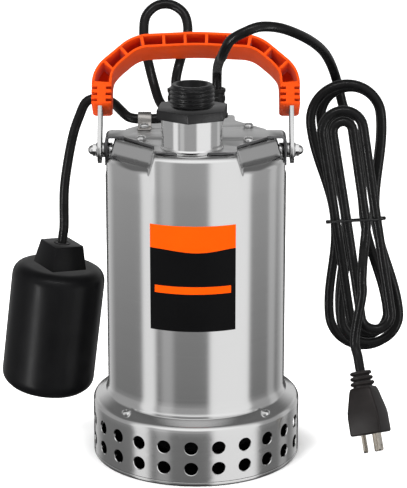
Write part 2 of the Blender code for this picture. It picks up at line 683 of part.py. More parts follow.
def build_outlet():
    neck_inner = NECK_RADIUS - NECK_WALL
    neck = turned("outlet_neck", [
        (neck_inner, NECK_TOP), (NECK_RADIUS, NECK_TOP), (NECK_RADIUS, PLATE_BOTTOM),
        (neck_inner, PLATE_BOTTOM)], MEDIUM_FACET_COUNT)
    neck.location = (OUTLET_X, OUTLET_Y, 0.0)
    add_part(neck, BRIGHT_STEEL)
    hex_bottom = NECK_TOP + GAP
    hex_top = hex_bottom + HEX_HEIGHT
    fitting = cylinder("outlet_fitting", HEX_CORNER_RADIUS, hex_bottom, hex_top, 6)
    fitting.data.transform(Matrix.Rotation(HEX_TURN, 4, "Z"))
    fitting.location = (OUTLET_X, OUTLET_Y, 0.0)
    add_part(fitting, BLACK_PLASTIC)
    root = THREAD_RADIUS - THREAD_DEPTH
    profile = []
    foot = hex_top + 0.8 * MM
    for ridge in reversed(range(THREAD_RIDGES)):
        low = foot + ridge * THREAD_PITCH
        profile += [(root, low + THREAD_PITCH * 0.95), (THREAD_RADIUS, low + THREAD_PITCH * 0.5),
                    (root, low + THREAD_PITCH * 0.05)]
    spigot = neck_inner - HOLE_CLEARANCE
    top = foot + THREAD_RIDGES * THREAD_PITCH
    body = solid_of_revolution("outlet_thread", [
        (0.0, top), (root - MM, top), *profile, (root, hex_bottom + MM), (spigot, hex_bottom + MM),
        (spigot, hex_bottom - SPIGOT_LENGTH), (0.0, hex_bottom - SPIGOT_LENGTH)], 24)
    body.location = fitting.location
    boolean(fitting, add_cutter(body), "UNION")
    bore = cylinder("outlet_bore", OUTLET_BORE, hex_bottom - SPIGOT_LENGTH - MM, top + MM, 24)
    bore.location = fitting.location
    boolean(fitting, add_cutter(bore))


def build_glands():
    for side, x in zip(("float", "power"), GLAND_X):
        seat = PLATE_TOP + GAP
        gland = solid_of_revolution(f"{side}_cord_gland", [
            (0.0, GLAND_TOP), (GLAND_RADIUS * 0.9, GLAND_TOP), (GLAND_RADIUS, GLAND_TOP - MM),
            (GLAND_RADIUS, GLAND_TOP - 3 * MM), (GLAND_RADIUS * 0.92, GLAND_TOP - 4 * MM),
            (GLAND_RADIUS, seat + GLAND_FLANGE_HEIGHT), (GLAND_FLANGE_RADIUS, seat + GLAND_FLANGE_HEIGHT),
            (GLAND_FLANGE_RADIUS, seat), (GLAND_RADIUS, seat), (GLAND_RADIUS, DRUM_HIGH_TOP - 3 * MM),
            (0.0, DRUM_HIGH_TOP - 3 * MM)], SMALL_FACET_COUNT)
        gland.location = (x, GLAND_Y, 0.0)
        add_part(gland, BLACK_RUBBER)


# Handle, in the frame of its pivot: X across, Z along the legs, -Y to the front

def grip_path():
    """Centre line of the grip from the left leg's end to the right one's, as even points."""
    right = [(GRIP_HALF_WIDTH, GRIP_LEG_END), (GRIP_HALF_WIDTH, GRIP_SHOULDER),
             (GRIP_BAR_HALF, GRIP_BAR_LOW), (0.0, GRIP_BAR_HIGH)]
    corners = [(-x, z) for x, z in right] + right[-2::-1]
    line = [Vector((*corners[0], 0.0))]
    for before, here, after in zip(corners, corners[1:], corners[2:]):
        before, here, after = Vector(before), Vector(here), Vector(after)
        incoming, outgoing = (before - here).normalized(), (after - here).normalized()
        reach = min(GRIP_FILLET, (before - here).length * 0.48, (after - here).length * 0.48)
        start, end = here + incoming * reach, here + outgoing * reach
        for step in range(6):
            t = step / 5
            bend = start * (1 - t) ** 2 + here * 2 * t * (1 - t) + end * t * t
            line.append(Vector((bend.x, bend.y, 0.0)))
    line.append(Vector((*corners[-1], 0.0)))
    return line


def band(line, low, high):
    """Outline between two offsets of a centre line, outwards positive."""
    outer, inner = [], []
    for index, point in enumerate(line):
        ahead = line[min(index + 1, len(line) - 1)] - line[max(index - 1, 0)]
        normal = Vector((-ahead.y, ahead.x, 0.0)).normalized()
        outer.append((point + normal * high).to_tuple()[:2])
        inner.append((point + normal * low).to_tuple()[:2])
    return outer + inner[::-1]


def stand_up(item):
    """Turn a prism drawn in plan so that its outline's y points up, its top to the front."""
    item.data.transform(Matrix.Rotation(math.pi / 2, 4, "X"))
    return item


def build_handle():
    pivot = bpy.data.objects.new("handle_pivot", None)
    PARTS.objects.link(pivot)
    pivot.location = (0.0, 0.0, PIVOT_HEIGHT)
    pivot.rotation_euler = (-HANDLE_LEAN, 0.0, 0.0)
    line = grip_path()
    half = GRIP_SECTION / 2
    front = GRIP_DEPTH / 2
    grip = stand_up(prism("handle_grip", [band(line, -half, half)], -front, front))
    add_part(grip, ORANGE_PLASTIC, pivot)
    boolean(grip, add_cutter(parented(grip_pockets(line, front), pivot)))
    boolean(grip, add_cutter(parented(grip_notches(front), pivot)))
    for side, name in ((-1, "left"), (1, "right")):
        xs = sorted((side * LINK_INNER, side * (LINK_INNER + LINK_THICKNESS)))
        slot = box(f"link_slot_{name}", (xs[0] - GAP, -LINK_HALF_WIDTH - GAP, GRIP_LEG_END - MM),
                   (xs[1] + GAP, LINK_HALF_WIDTH + GAP, LINK_TOP + GAP))
        boolean(grip, add_cutter(parented(slot, pivot)))
        build_link(name, xs, pivot)
        build_pivot_bolt(name, side)


def parented(item, parent):
    item.parent = parent
    return item


def grip_pockets(line, front):
    """Pockets in the front face, with a rib left between one and the next."""
    even = resample(line, 1.0 * MM)
    inset = GRIP_SECTION / 2 - GRIP_WALL
    first = round(GRIP_SOLID_LEG / MM)
    last = len(even) - 1 - first
    pitch = (last - first) / GRIP_POCKET_COUNT
    shape = bmesh.new()
    for pocket in range(GRIP_POCKET_COUNT):
        start = round(first + pocket * pitch + GRIP_RIB / MM / 2)
        end = round(first + (pocket + 1) * pitch - GRIP_RIB / MM / 2)
        bay = even[start:end + 1:6]
        cut = stand_up(prism("pocket", [band(bay, -inset, inset)], front - GRIP_POCKET_DEPTH, front + MM))
        shape.from_mesh(cut.data)
        bpy.data.objects.remove(cut, do_unlink=True)
    return object_from_bmesh("grip_pockets", shape)


def grip_notches(front):
    """Three finger notches in each side edge of each leg's front face."""
    shape = bmesh.new()
    for side in (-1, 1):
        for edge in (-1, 1):
            for step in range(3):
                x = side * GRIP_HALF_WIDTH + edge * GRIP_SECTION / 2
                z = GRIP_LEG_END + 5.0 * MM + step * NOTCH_STEP
                size = (2 * NOTCH_DEPTH, GRIP_DEPTH * 0.5, NOTCH_HEIGHT, 1.0)
                bmesh.ops.create_cube(shape, size=1.0, matrix=Matrix.Translation((x, -front, z))
                                      @ Matrix.Diagonal(size))
    return object_from_bmesh("grip_notches", shape)


def build_link(name, xs, pivot):
    """A flat bar, round at the pivot, that runs up into the grip's leg."""
    outline = [(LINK_HALF_WIDTH, LINK_TOP), (-LINK_HALF_WIDTH, LINK_TOP)]
    outline += corner_arc((0.0, 0.0), LINK_HALF_WIDTH, 180, 360, 12)
    hole = circle(PIVOT_RADIUS + HOLE_CLEARANCE, SMALL_FACET_COUNT)
    link = prism(f"handle_link_{name}", [outline, hole], xs[0], xs[1])
    link.data.transform(Matrix(((0, 0, 1, 0), (1, 0, 0, 0), (0, 1, 0, 0), (0, 0, 0, 1))))
    add_part(link, BRIGHT_STEEL, pivot)


def build_pivot_bolt(name, side):
    """Bolt head inside the ear, a spacer between ear and link, and a domed nut outside."""
    ear_inside = EAR_REACH - PLATE_THICKNESS - GAP
    nut_seat = LINK_INNER + LINK_THICKNESS + GAP
    nut_tip = nut_seat + NUT_LENGTH
    shank_end = nut_seat + NUT_LENGTH * 0.6
    turn = Matrix.Translation((0.0, 0.0, PIVOT_HEIGHT)) @ Matrix.Rotation(side * math.pi / 2, 4, "Y")
    bolt = solid_of_revolution(f"pivot_bolt_{name}", [
        (0.0, shank_end), (PIVOT_RADIUS, shank_end), (PIVOT_RADIUS, ear_inside),
        (PIVOT_HEAD_RADIUS, ear_inside), (PIVOT_HEAD_RADIUS, ear_inside - PIVOT_HEAD),
        (0.0, ear_inside - PIVOT_HEAD)], 16)
    add_part(bolt, BRIGHT_STEEL).matrix_world = turn
    bore = PIVOT_RADIUS + HOLE_CLEARANCE
    spacer = turned(f"pivot_spacer_{name}", [
        (bore, LINK_INNER - GAP), (PIVOT_HEAD_RADIUS, LINK_INNER - GAP),
        (PIVOT_HEAD_RADIUS, EAR_REACH + GAP), (bore, EAR_REACH + GAP)], 16)
    add_part(spacer, BRIGHT_STEEL).matrix_world = turn
    flat = nut_seat + NUT_LENGTH * 0.45
    dome = corner_arc((0.0, 0.0), 1.0, 90, 0, 4)
    dome_points = [(NUT_RADIUS * 0.86 * x, flat + (nut_tip - flat) * z) for x, z in dome]
    dome_points[0] = (0.0, nut_tip)
    nut = solid_of_revolution(f"domed_nut_{name}", [
        *dome_points, (NUT_RADIUS, flat), (NUT_RADIUS, nut_seat), (bore, nut_seat),
        (bore, shank_end + GAP), (0.0, shank_end + GAP)], 12)
    add_part(nut, BRIGHT_STEEL).matrix_world = turn


# Float and its parts, in the frame of the float's top face: Z up along its axis

def build_float():
    frame = bpy.data.objects.new("float_frame", None)
    PARTS.objects.link(frame)
    frame.location = FLOAT_TOP_CENTRE
    frame.rotation_euler = (0.0, FLOAT_TILT, 0.0)
    radius, wall = FLOAT_RADIUS, FLOAT_WALL
    low = -FLOAT_HEIGHT
    top_corner, low_corner = FLOAT_TOP_CORNER, FLOAT_BOTTOM_CORNER
    outside = [(FLOAT_NECK_RADIUS, 0.0),
               *corner_arc((radius - top_corner, -top_corner), top_corner, 90, 0, 3),
               *corner_arc((radius - low_corner, low + low_corner), low_corner, 0, -80, 4),
               (0.0, low)]
    inside = [(0.0, low + wall),
              *corner_arc((radius - low_corner, low + low_corner), low_corner - wall, -80, 0, 2),
              *corner_arc((radius - top_corner, -top_corner), top_corner - wall, 0, 90, 1),
              (FLOAT_NECK_RADIUS, -wall)]
    shell = turned("float_shell", outside + inside, MEDIUM_FACET_COUNT)
    add_part(shell, BLACK_PLASTIC, frame)
    build_float_cap(frame)
    build_capsule(frame)


def build_float_cap(frame):
    """The square tapered boss that takes the cord, with a round spigot in the float's neck."""
    shape = bmesh.new()
    spin = Matrix.Rotation(math.radians(45 + 12), 4, "Z")
    bmesh.ops.create_cone(shape, cap_ends=True, segments=4, radius1=BOSS_BASE * math.sqrt(2),
                          radius2=BOSS_TIP * math.sqrt(2), depth=BOSS_HEIGHT,
                          matrix=Matrix.Translation((0.0, 0.0, GAP + BOSS_HEIGHT / 2)) @ spin)
    cap = object_from_bmesh("float_cap", shape)
    add_part(cap, BLACK_PLASTIC, frame)
    spigot = cylinder("float_spigot", FLOAT_NECK_RADIUS - HOLE_CLEARANCE, -FLOAT_WALL, GAP + MM,
                      MEDIUM_FACET_COUNT)
    boolean(cap, add_cutter(parented(spigot, frame)), "UNION")


def build_capsule(frame):
    """The switch's tube under the cap, with a ball that rolls along it."""
    top = -FLOAT_WALL - GAP
    low = top - CAPSULE_LENGTH
    floor = 3.0 * MM
    capsule = solid_of_revolution("switch_capsule", [
        (0.0, top), (CAPSULE_RADIUS, top), (CAPSULE_RADIUS, low), (CAPSULE_MOUTH, low),
        (CAPSULE_MOUTH, low + floor), (CAPSULE_BORE, low + floor), (CAPSULE_BORE, top - 4 * MM),
        (0.0, top - 4 * MM)], SMALL_FACET_COUNT)
    add_part(capsule, WHITE_PLASTIC, frame)
    shape = bmesh.new()
    sink = BALL_RADIUS - math.sqrt(BALL_RADIUS ** 2 - CAPSULE_MOUTH ** 2)
    rest = low + floor + BALL_RADIUS - sink + 2 * GAP
    bmesh.ops.create_uvsphere(shape, u_segments=12, v_segments=8, radius=BALL_RADIUS)
    ball = object_from_bmesh("switch_ball", shape)
    ball.location = (0.0, 0.0, rest)
    add_part(ball, BRIGHT_STEEL, frame)


# Cords

def build_float_cord():
    clip_run = [CLIP_CENTRE + Vector((shift, 0.0, 0.0)) * MM for shift in (6.5, 3.5, 0.0, -3.5, -6.5)]
    start = Vector((GLAND_X[0], GLAND_Y, GLAND_TOP + GAP))
    ends = [FLOAT_PIVOT + Vector((CORD_RADIUS * step + 2 * GAP, 0.0, 0.0)) for step in (3.4, 1.0)]
    route = [start, *FLOAT_LEAD_ROUTE, *clip_run, *FLOAT_LEAD_AFTER_CLIP, *ends]
    lead = smooth_curve(route, 6.6 * MM)
    add_part(tube("float_cord_lead", lead, CORD_RADIUS), BLACK_RUBBER)
    float_axis = Matrix.Rotation(FLOAT_TILT, 3, "Y") @ Vector((0.0, 0.0, 1.0))
    boss_top = FLOAT_TOP_CENTRE + float_axis * (BOSS_HEIGHT + 2 * GAP)
    entry = [boss_top + float_axis * CORD_RADIUS * step for step in (4, 2, 0)]
    drop_route = [FLOAT_PIVOT, *FLOAT_DROP_ROUTE, *entry]
    drop = tube("float_cord_drop", smooth_curve(drop_route, 8.0 * MM), CORD_RADIUS)
    add_part(drop, BLACK_RUBBER)
    shape = bmesh.new()
    bmesh.ops.create_uvsphere(shape, u_segments=8, v_segments=6, radius=CORD_RADIUS,
                              matrix=Matrix.Translation(FLOAT_PIVOT))
    boolean(drop, add_cutter(object_from_bmesh("float_cord_end", shape)), "UNION")
    print(f"float cord length {path_length(lead) + path_length(smooth_curve(drop_route, 8.0 * MM)):.3f} m")


def hank_axes():
    across = Vector((math.cos(HANK_TILT), 0.0, math.sin(HANK_TILT)))
    along = Vector((-math.sin(HANK_TILT), 0.0, math.cos(HANK_TILT)))
    return across, along, Vector((0.0, -1.0, 0.0))


def hank_place(across, along, layer):
    """A point of the hank from its offsets across and along it and its layer, counted from the back."""
    side, up, front = hank_axes()
    return HANK_CENTRE + side * across + up * along + front * ((layer - (HANK_LAYERS - 1) / 2) * HANK_STEP)


def smooth_step(value):
    value = min(1.0, max(0.0, value))
    return value * value * (3 - 2 * value)


def hank_size(turn, back, front):
    """A size that passes from the back layers' wide loops to the front layers' narrow ones."""
    return back + (front - back) * smooth_step((turn - HANK_CLIMBS[1]) / HANK_CLIMB_SPAN + 0.5)


def hank_radius(turn):
    """Half width of the loops' ends: out at a steady rate, and back at each climb to the next layer."""
    steps, since, way = 0.0, 0.0, 1.0
    for climb in (*HANK_CLIMBS, HANK_TURNS):
        steps += way * max(0.0, min(turn, climb) - since)
        since, way = climb, -way
    return hank_size(turn, HANK_INNER, HANK_FRONT_INNER) + HANK_PITCH * steps


def hank_layer(turn):
    """The layer at a turn: it climbs by one along the run where the spiral reverses."""
    return sum(smooth_step((turn - climb) / HANK_CLIMB_SPAN + 0.5) for climb in HANK_CLIMBS)


def hank_point(turn):
    radius = hank_radius(turn)
    reference = HANK_INNER + HANK_PITCH * HANK_CLIMBS[0] / 2
    run, arc = 2 * HANK_RUN, math.pi * reference * HANK_END_SHARE
    travelled = ((turn % 1.0) * 2 * (run + arc) + HANK_RUN) % (2 * (run + arc))
    side = 1.0 if travelled < run + arc else -1.0
    travelled %= run + arc
    half = hank_size(turn, HANK_RUN, HANK_FRONT_RUN)
    if travelled < run:
        share = 1 - travelled / HANK_RUN
        drawn = hank_size(turn, HANK_INNER, HANK_FRONT_INNER) - HANK_WAIST
        drawn *= math.cos(math.pi * share / 2) ** 2
        return hank_place(side * (radius - drawn), side * share * half, hank_layer(turn))
    angle = math.pi * (travelled - run) / arc
    return hank_place(side * radius * math.cos(angle), side * (-half - radius * math.sin(angle)),
                      hank_layer(turn))


def hank_lead(end):
    """End of the hank behind its first run, or in front of its last, where it hangs straight down."""
    layer, drift = (0.0, 0.0) if end > 0 else (HANK_LAYERS - 1.0, math.tan(HANK_TILT))
    points = []
    for step in range(8):
        along = HANK_LEAD * (1 - step / 8)
        rise = smooth_step((along - 10 * MM) / (HANK_LEAD - 2 * CORD_RADIUS - 10 * MM))
        points.append(hank_place(HANK_WAIST - drift * along, end * along, layer - end * rise))
    return points if end > 0 else points[::-1]


def hank_line():
    count = HANK_TURNS * HANK_POINTS_PER_TURN
    loops = [hank_point(index / HANK_POINTS_PER_TURN) for index in range(count)]
    loops.append(hank_place(HANK_WAIST, 0.0, HANK_LAYERS - 1.0))
    return [*hank_lead(1), *loops, *hank_lead(-1)]


def least_gap(line):
    """The least gap between two stretches of a tube, from points 2 mm apart."""
    dense = resample(line, 2.0 * MM)
    skip = round(6 * CORD_RADIUS / (2.0 * MM))
    return min((dense[i] - dense[j]).length for i in range(len(dense)) for j in range(i + skip, len(dense))
               ) - 2 * CORD_RADIUS


def build_power_cord():
    start = Vector((GLAND_X[1], GLAND_Y, GLAND_TOP + GAP))
    line = hank_line()
    add_part(tube("power_cord_hank", line, CORD_RADIUS, 1), BLACK_RUBBER)
    down = (line[1] - line[0]).normalized()
    arch_end = line[0] - down * GAP
    arch_route = [start, *POWER_ARCH_ROUTE, arch_end - down * 2 * CORD_RADIUS, arch_end]
    arch = smooth_curve(arch_route, 12.0 * MM)
    add_part(tube("power_cord_arch", arch, CORD_RADIUS), BLACK_RUBBER)
    out = (line[-1] - line[-2]).normalized()
    tail_start = line[-1] + out * GAP
    entry = [plug_frame() @ Vector((0.0, 0.0, GAP + CORD_RADIUS * step)) for step in (5, 2.5, 1, 0)]
    tail = smooth_curve([tail_start, tail_start + out * 2 * CORD_RADIUS, *entry], 9.0 * MM)
    add_part(tube("power_cord_tail", tail, CORD_RADIUS), BLACK_RUBBER)
    print(f"power cord length {path_length(arch) + path_length(line) + path_length(tail):.3f} m")
    print(f"least gap in the hank {least_gap(line) / MM:.2f} mm")
    build_tie()


def build_tie():
    """A band round all the strands at the hank's waist."""
    half_width = HANK_WAIST + HANK_PITCH * HANK_CLIMBS[0] + CORD_RADIUS + 2 * GAP
    half_depth = (HANK_LAYERS - 1) / 2 * HANK_STEP + CORD_RADIUS + 2 * GAP
    sizes = ((half_width + TIE_THICKNESS, half_depth + TIE_THICKNESS), (half_width, half_depth))
    outlines = [rounded([(w, -d), (w, d), (-w, d), (-w, -d)], CORD_RADIUS) for w, d in sizes]
    tie = prism("hank_tie", outlines, -TIE_HEIGHT / 2, TIE_HEIGHT / 2)
    tie.location = HANK_CENTRE
    tie.rotation_euler = (0.0, -HANK_TILT, 0.0)
    add_part(tie, BLACK_PLASTIC)


# Plug

def plug_frame():
    """The place of the plug, with its Z up along the plug and zero at the sleeve's top."""
    lean = Matrix.Rotation(-PLUG_LEAN, 4, "X") @ Matrix.Rotation(-PLUG_TILT, 4, "Y")
    return Matrix.Translation(PLUG_PLACE) @ lean @ Matrix.Rotation(PLUG_TURN, 4, "Z")


def build_plug():
    """A moulded three-pin plug standing on its pins: ribbed sleeve, flared body, two blades and a pin."""
    frame = plug_frame()
    relief = PLUG_RELIEF_RADIUS
    collar = relief + 1.6 * MM
    half_width, half_depth = PLUG_WIDTH / 2, PLUG_DEPTH / 2
    shape = bmesh.new()
    bmesh.ops.create_cube(shape, size=1.0, matrix=Matrix.Diagonal((PLUG_WIDTH, PLUG_DEPTH,
                                                                   PLUG_BODY_TOP - PLUG_FACE, 1.0)))
    for vert in shape.verts:
        if vert.co.z > 0:
            vert.co.x *= collar / half_width
            vert.co.y *= collar / half_depth
    body = object_from_bmesh("plug_body", shape)
    body.data.transform(Matrix.Translation((0.0, 0.0, (PLUG_BODY_TOP + PLUG_FACE) / 2)))
    bevel = body.modifiers.new("rounding", "BEVEL")
    bevel.width = 2.5 * MM
    bevel.segments = 1
    add_part(body, BLACK_RUBBER).matrix_world = frame
    ribs, rib_step = [], -PLUG_BODY_TOP / 3
    for rib in reversed(range(3)):
        low = PLUG_BODY_TOP + rib * rib_step
        ribs += [(collar, low + rib_step), (collar, low + rib_step * 0.4), (relief, low + rib_step * 0.35),
                 (relief, low)]
    sleeve = solid_of_revolution("plug_sleeve", [(0.0, 0.0), *ribs, (relief, PLUG_BODY_TOP - 6 * MM),
                                                 (0.0, PLUG_BODY_TOP - 6 * MM)], SMALL_FACET_COUNT)
    sleeve.matrix_world = frame
    boolean(body, add_cutter(sleeve), "UNION")
    low, high = PLUG_FACE - GAP - BLADE_LENGTH, PLUG_FACE - GAP
    for side, name in ((-1, "left"), (1, "right")):
        x = side * BLADE_SPACING / 2
        blade = box(f"plug_blade_{name}", (x - BLADE_THICKNESS / 2, -BLADE_WIDTH / 2, low),
                    (x + BLADE_THICKNESS / 2, BLADE_WIDTH / 2, high))
        blade.matrix_world = frame
        add_part(blade, NICKEL)
    pin = cylinder("plug_ground_pin", GROUND_PIN_RADIUS, low, high, 12, (0.0, GROUND_PIN_OFFSET))
    pin.matrix_world = frame
    add_part(pin, NICKEL)


# Motor and pump inside

def build_motor():
    lower_bearing = SEAL_PLATE_TOP - BEARING_HEIGHT - GAP
    plate_bottom = LEDGE_TOP + GAP
    spigot = CAN_RADIUS - CAN_WALL - HOLE_CLEARANCE
    bearing_seat = BEARING_RADIUS + HOLE_CLEARANCE
    shaft_hole = SHAFT_RADIUS + RUNNING_GAP
    flange = DRUM_RADIUS - DRUM_WALL - HOLE_CLEARANCE
    flange_top = plate_bottom + SEAL_FLANGE_HEIGHT
    seal_plate = turned("seal_plate", [
        (bearing_seat, SEAL_PLATE_TOP), (spigot, SEAL_PLATE_TOP), (spigot, flange_top), (flange, flange_top),
        (flange, plate_bottom), (shaft_hole, plate_bottom), (shaft_hole, lower_bearing - GAP),
        (bearing_seat, lower_bearing - GAP)], INNER_FACET_COUNT)
    add_part(seal_plate, CAST_GREY)
    windows = [((flange + spigot) / 2 * math.cos(a), (flange + spigot) / 2 * math.sin(a))
               for a in (2 * math.pi * index / WATER_PORT_COUNT for index in range(WATER_PORT_COUNT))]
    boolean(seal_plate, screw_holes("water_ports", windows, (flange - CAN_RADIUS) / 2 - MM,
                                    plate_bottom - MM, flange_top + MM))
    can_bottom = flange_top + GAP
    inner = CAN_RADIUS - CAN_WALL
    can = turned("motor_can", [
        (BEARING_RADIUS, CAN_TOP), (CAN_RADIUS - CAN_CORNER, CAN_TOP), (CAN_RADIUS, CAN_TOP - CAN_CORNER),
        (CAN_RADIUS, can_bottom), (inner, can_bottom), (inner, CAN_TOP - CAN_CORNER),
        (CAN_RADIUS - CAN_CORNER, CAN_TOP - CAN_WALL), (BEARING_RADIUS, CAN_TOP - CAN_WALL)],
        INNER_FACET_COUNT)
    add_part(can, STEEL)
    stator_outer = inner - HOLE_CLEARANCE
    stator_inner = ROTOR_RADIUS + RUNNING_GAP
    stator = turned("stator_core", [
        (stator_inner, STATOR_TOP), (stator_outer, STATOR_TOP), (stator_outer, STATOR_BOTTOM),
        (stator_inner, STATOR_BOTTOM)], INNER_FACET_COUNT)
    add_part(stator, LAMINATION)
    lower_winding = STATOR_BOTTOM - GAP - WINDING_HEIGHT
    for name, low in (("winding_upper", STATOR_TOP + GAP), ("winding_lower", lower_winding)):
        ring_inner, ring_outer = stator_inner + WINDING_INSET, stator_outer - WINDING_INSET
        high, soft = low + WINDING_HEIGHT, WINDING_CORNER
        winding = turned(name, [
            (ring_inner + soft, high), (ring_outer - soft, high), (ring_outer, high - soft),
            (ring_outer, low + soft), (ring_outer - soft, low), (ring_inner + soft, low),
            (ring_inner, low + soft), (ring_inner, high - soft)], SMALL_FACET_COUNT)
        add_part(winding, COPPER)
    build_rotor(lower_bearing)
    capacitor = cylinder("capacitor", CAPACITOR_RADIUS, -CAPACITOR_LENGTH / 2, CAPACITOR_LENGTH / 2,
                         INNER_FACET_COUNT)
    capacitor.data.transform(Matrix.Rotation(math.pi / 2, 4, "Y"))
    hub_top = UPPER_BEARING_BOTTOM + BEARING_HEIGHT + GAP
    hub = bearing_seat + BEARING_HUB_WALL
    capacitor.location = (0.0, -hub - CAPACITOR_RADIUS - MM, UPPER_BEARING_BOTTOM + CAPACITOR_RADIUS + GAP)
    add_part(capacitor, WHITE_PLASTIC)
    end_bell = turned("bearing_bracket", [
        (bearing_seat, hub_top), (hub, hub_top), (hub, UPPER_BEARING_BOTTOM),
        (stator_outer, UPPER_BEARING_BOTTOM), (stator_outer, UPPER_BEARING_BOTTOM - END_BELL_THICKNESS),
        (shaft_hole, UPPER_BEARING_BOTTOM - END_BELL_THICKNESS), (shaft_hole, UPPER_BEARING_BOTTOM - GAP),
        (bearing_seat, UPPER_BEARING_BOTTOM - GAP)], INNER_FACET_COUNT)
    add_part(end_bell, CAST_GREY)


def build_rotor(lower_bearing):
    """Shaft, laminated core and impeller, turning together in two bearings."""
    shaft_low = IMPELLER_BOTTOM - SHAFT_BELOW_IMPELLER
    shaft_top = UPPER_BEARING_BOTTOM + BEARING_HEIGHT + SHAFT_ABOVE_BEARING
    shaft = cylinder("motor_shaft", SHAFT_RADIUS, shaft_low, shaft_top, SMALL_FACET_COUNT)
    add_part(shaft, BRIGHT_STEEL)
    bore = SHAFT_RADIUS + HOLE_CLEARANCE
    core = turned("rotor_core", [
        (bore, STATOR_TOP), (ROTOR_RADIUS, STATOR_TOP), (ROTOR_RADIUS, STATOR_BOTTOM), (bore, STATOR_BOTTOM)],
                  INNER_FACET_COUNT)
    add_part(core, LAMINATION)
    for name, low in (("lower_bearing", lower_bearing), ("upper_bearing", UPPER_BEARING_BOTTOM)):
        bearing = turned(name, [
            (bore, low + BEARING_HEIGHT), (BEARING_RADIUS, low + BEARING_HEIGHT), (BEARING_RADIUS, low),
            (bore, low)], SMALL_FACET_COUNT)
        add_part(bearing, BRIGHT_STEEL)
    seal_top = LEDGE_TOP
    seal_bottom = IMPELLER_BOTTOM + IMPELLER_HEIGHT + RUNNING_GAP
    seal = turned("shaft_seal", [
        (bore, seal_top), (SEAL_RADIUS, seal_top), (SEAL_RADIUS, seal_top - SEAL_RIM),
        (SEAL_TIP_RADIUS, seal_bottom),
        (bore, seal_bottom)], SMALL_FACET_COUNT)
    add_part(seal, BLACK_RUBBER)
    build_impeller(bore)
    nut_top = IMPELLER_BOTTOM - GAP
    nut = prism("impeller_nut", [circle(IMPELLER_NUT_RADIUS, 6), circle(bore, SMALL_FACET_COUNT)],
                nut_top - IMPELLER_NUT_HEIGHT, nut_top)
    add_part(nut, BRIGHT_STEEL)


def build_impeller(bore):
    """A back disc with curved vanes under it, open towards the suction."""
    top = IMPELLER_BOTTOM + IMPELLER_HEIGHT
    disc = 3.0 * MM
    impeller = turned("impeller", [
        (bore, top), (IMPELLER_RADIUS, top), (IMPELLER_RADIUS, top - disc), (14 * MM, top - disc),
        (12 * MM, IMPELLER_BOTTOM), (bore, IMPELLER_BOTTOM)], 24)
    add_part(impeller, BLACK_PLASTIC)
    line = []
    for step in range(5):
        share = step / 4
        radius = (11 + share * (IMPELLER_RADIUS / MM - 12.5)) * MM
        angle = -1.1 * share
        line.append(Vector((radius * math.cos(angle), radius * math.sin(angle), 0.0)))
    for index in range(VANE_COUNT):
        vane = prism(f"vane_{index}", [band(line, -1.0 * MM, 1.0 * MM)], IMPELLER_BOTTOM + 2 * MM, top - MM)
        vane.data.transform(Matrix.Rotation(2 * math.pi * index / VANE_COUNT, 4, "Z"))
        boolean(impeller, add_cutter(vane), "UNION")


def build_volute():
    """The pump chamber: a cup with its suction eye below, its flange held up under the ledge."""
    outer = CHAMBER_RADIUS + CHAMBER_WALL
    flange_top = LEDGE_UNDERSIDE - GAP
    flange = BASE_RADIUS - BASE_CORNER - MM
    eye = SUCTION_RADIUS
    volute = turned("volute", [
        (CHAMBER_RADIUS, flange_top), (flange, flange_top), (flange, flange_top - 3 * MM),
        (outer, flange_top - 3 * MM), (outer, CHAMBER_FLOOR + 3 * MM), (outer - 3 * MM, CHAMBER_FLOOR),
        (eye, CHAMBER_FLOOR), (eye, CHAMBER_FLOOR + CHAMBER_WALL),
        (CHAMBER_RADIUS, CHAMBER_FLOOR + CHAMBER_WALL)], INNER_FACET_COUNT)
    add_part(volute, CAST_GREY)
    boolean(volute, screw_holes("volute_screw_holes", base_screw_places(),
                                SCREW_SHANK_RADIUS + HOLE_CLEARANCE, flange_top - 5 * MM, flange_top + MM))


build_base()
build_drum()
build_bracket()
build_clip()
build_outlet()
build_glands()
build_handle()
build_float()
build_float_cord()
build_power_cord()
build_plug()
build_motor()
build_volute()
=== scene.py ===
"""Looks of a submersible sump pump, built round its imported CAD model. Metres, +Z up, front towards -Y."""

import json
import math

import bmesh
import bpy
from mathutils import Matrix, Vector


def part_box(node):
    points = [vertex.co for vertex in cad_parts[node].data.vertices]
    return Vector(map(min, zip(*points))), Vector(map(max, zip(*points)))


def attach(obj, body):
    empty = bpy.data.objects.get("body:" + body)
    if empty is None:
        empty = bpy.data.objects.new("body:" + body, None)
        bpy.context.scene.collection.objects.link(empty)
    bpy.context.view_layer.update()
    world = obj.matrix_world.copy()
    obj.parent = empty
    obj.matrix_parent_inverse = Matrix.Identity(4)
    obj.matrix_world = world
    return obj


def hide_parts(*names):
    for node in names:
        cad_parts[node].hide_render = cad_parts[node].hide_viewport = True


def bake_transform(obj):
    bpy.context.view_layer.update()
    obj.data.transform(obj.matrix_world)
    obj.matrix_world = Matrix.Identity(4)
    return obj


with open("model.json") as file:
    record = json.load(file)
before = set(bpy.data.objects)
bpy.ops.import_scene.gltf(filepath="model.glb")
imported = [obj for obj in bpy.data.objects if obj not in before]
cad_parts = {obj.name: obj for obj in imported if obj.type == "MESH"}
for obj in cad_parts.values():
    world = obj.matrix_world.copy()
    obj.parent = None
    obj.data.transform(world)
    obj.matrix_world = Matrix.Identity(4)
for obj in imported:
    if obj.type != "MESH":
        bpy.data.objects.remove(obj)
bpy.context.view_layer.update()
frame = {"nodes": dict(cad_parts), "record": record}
NODES = frame["nodes"]
MM = 0.001
WELD_DISTANCE = 0.002 * MM
IDENTITY = Matrix.Identity(4)
scene = bpy.context.scene
MOULDED_SLOTS = ("black_plastic", "black_rubber", "orange_plastic")
MOULDED = []

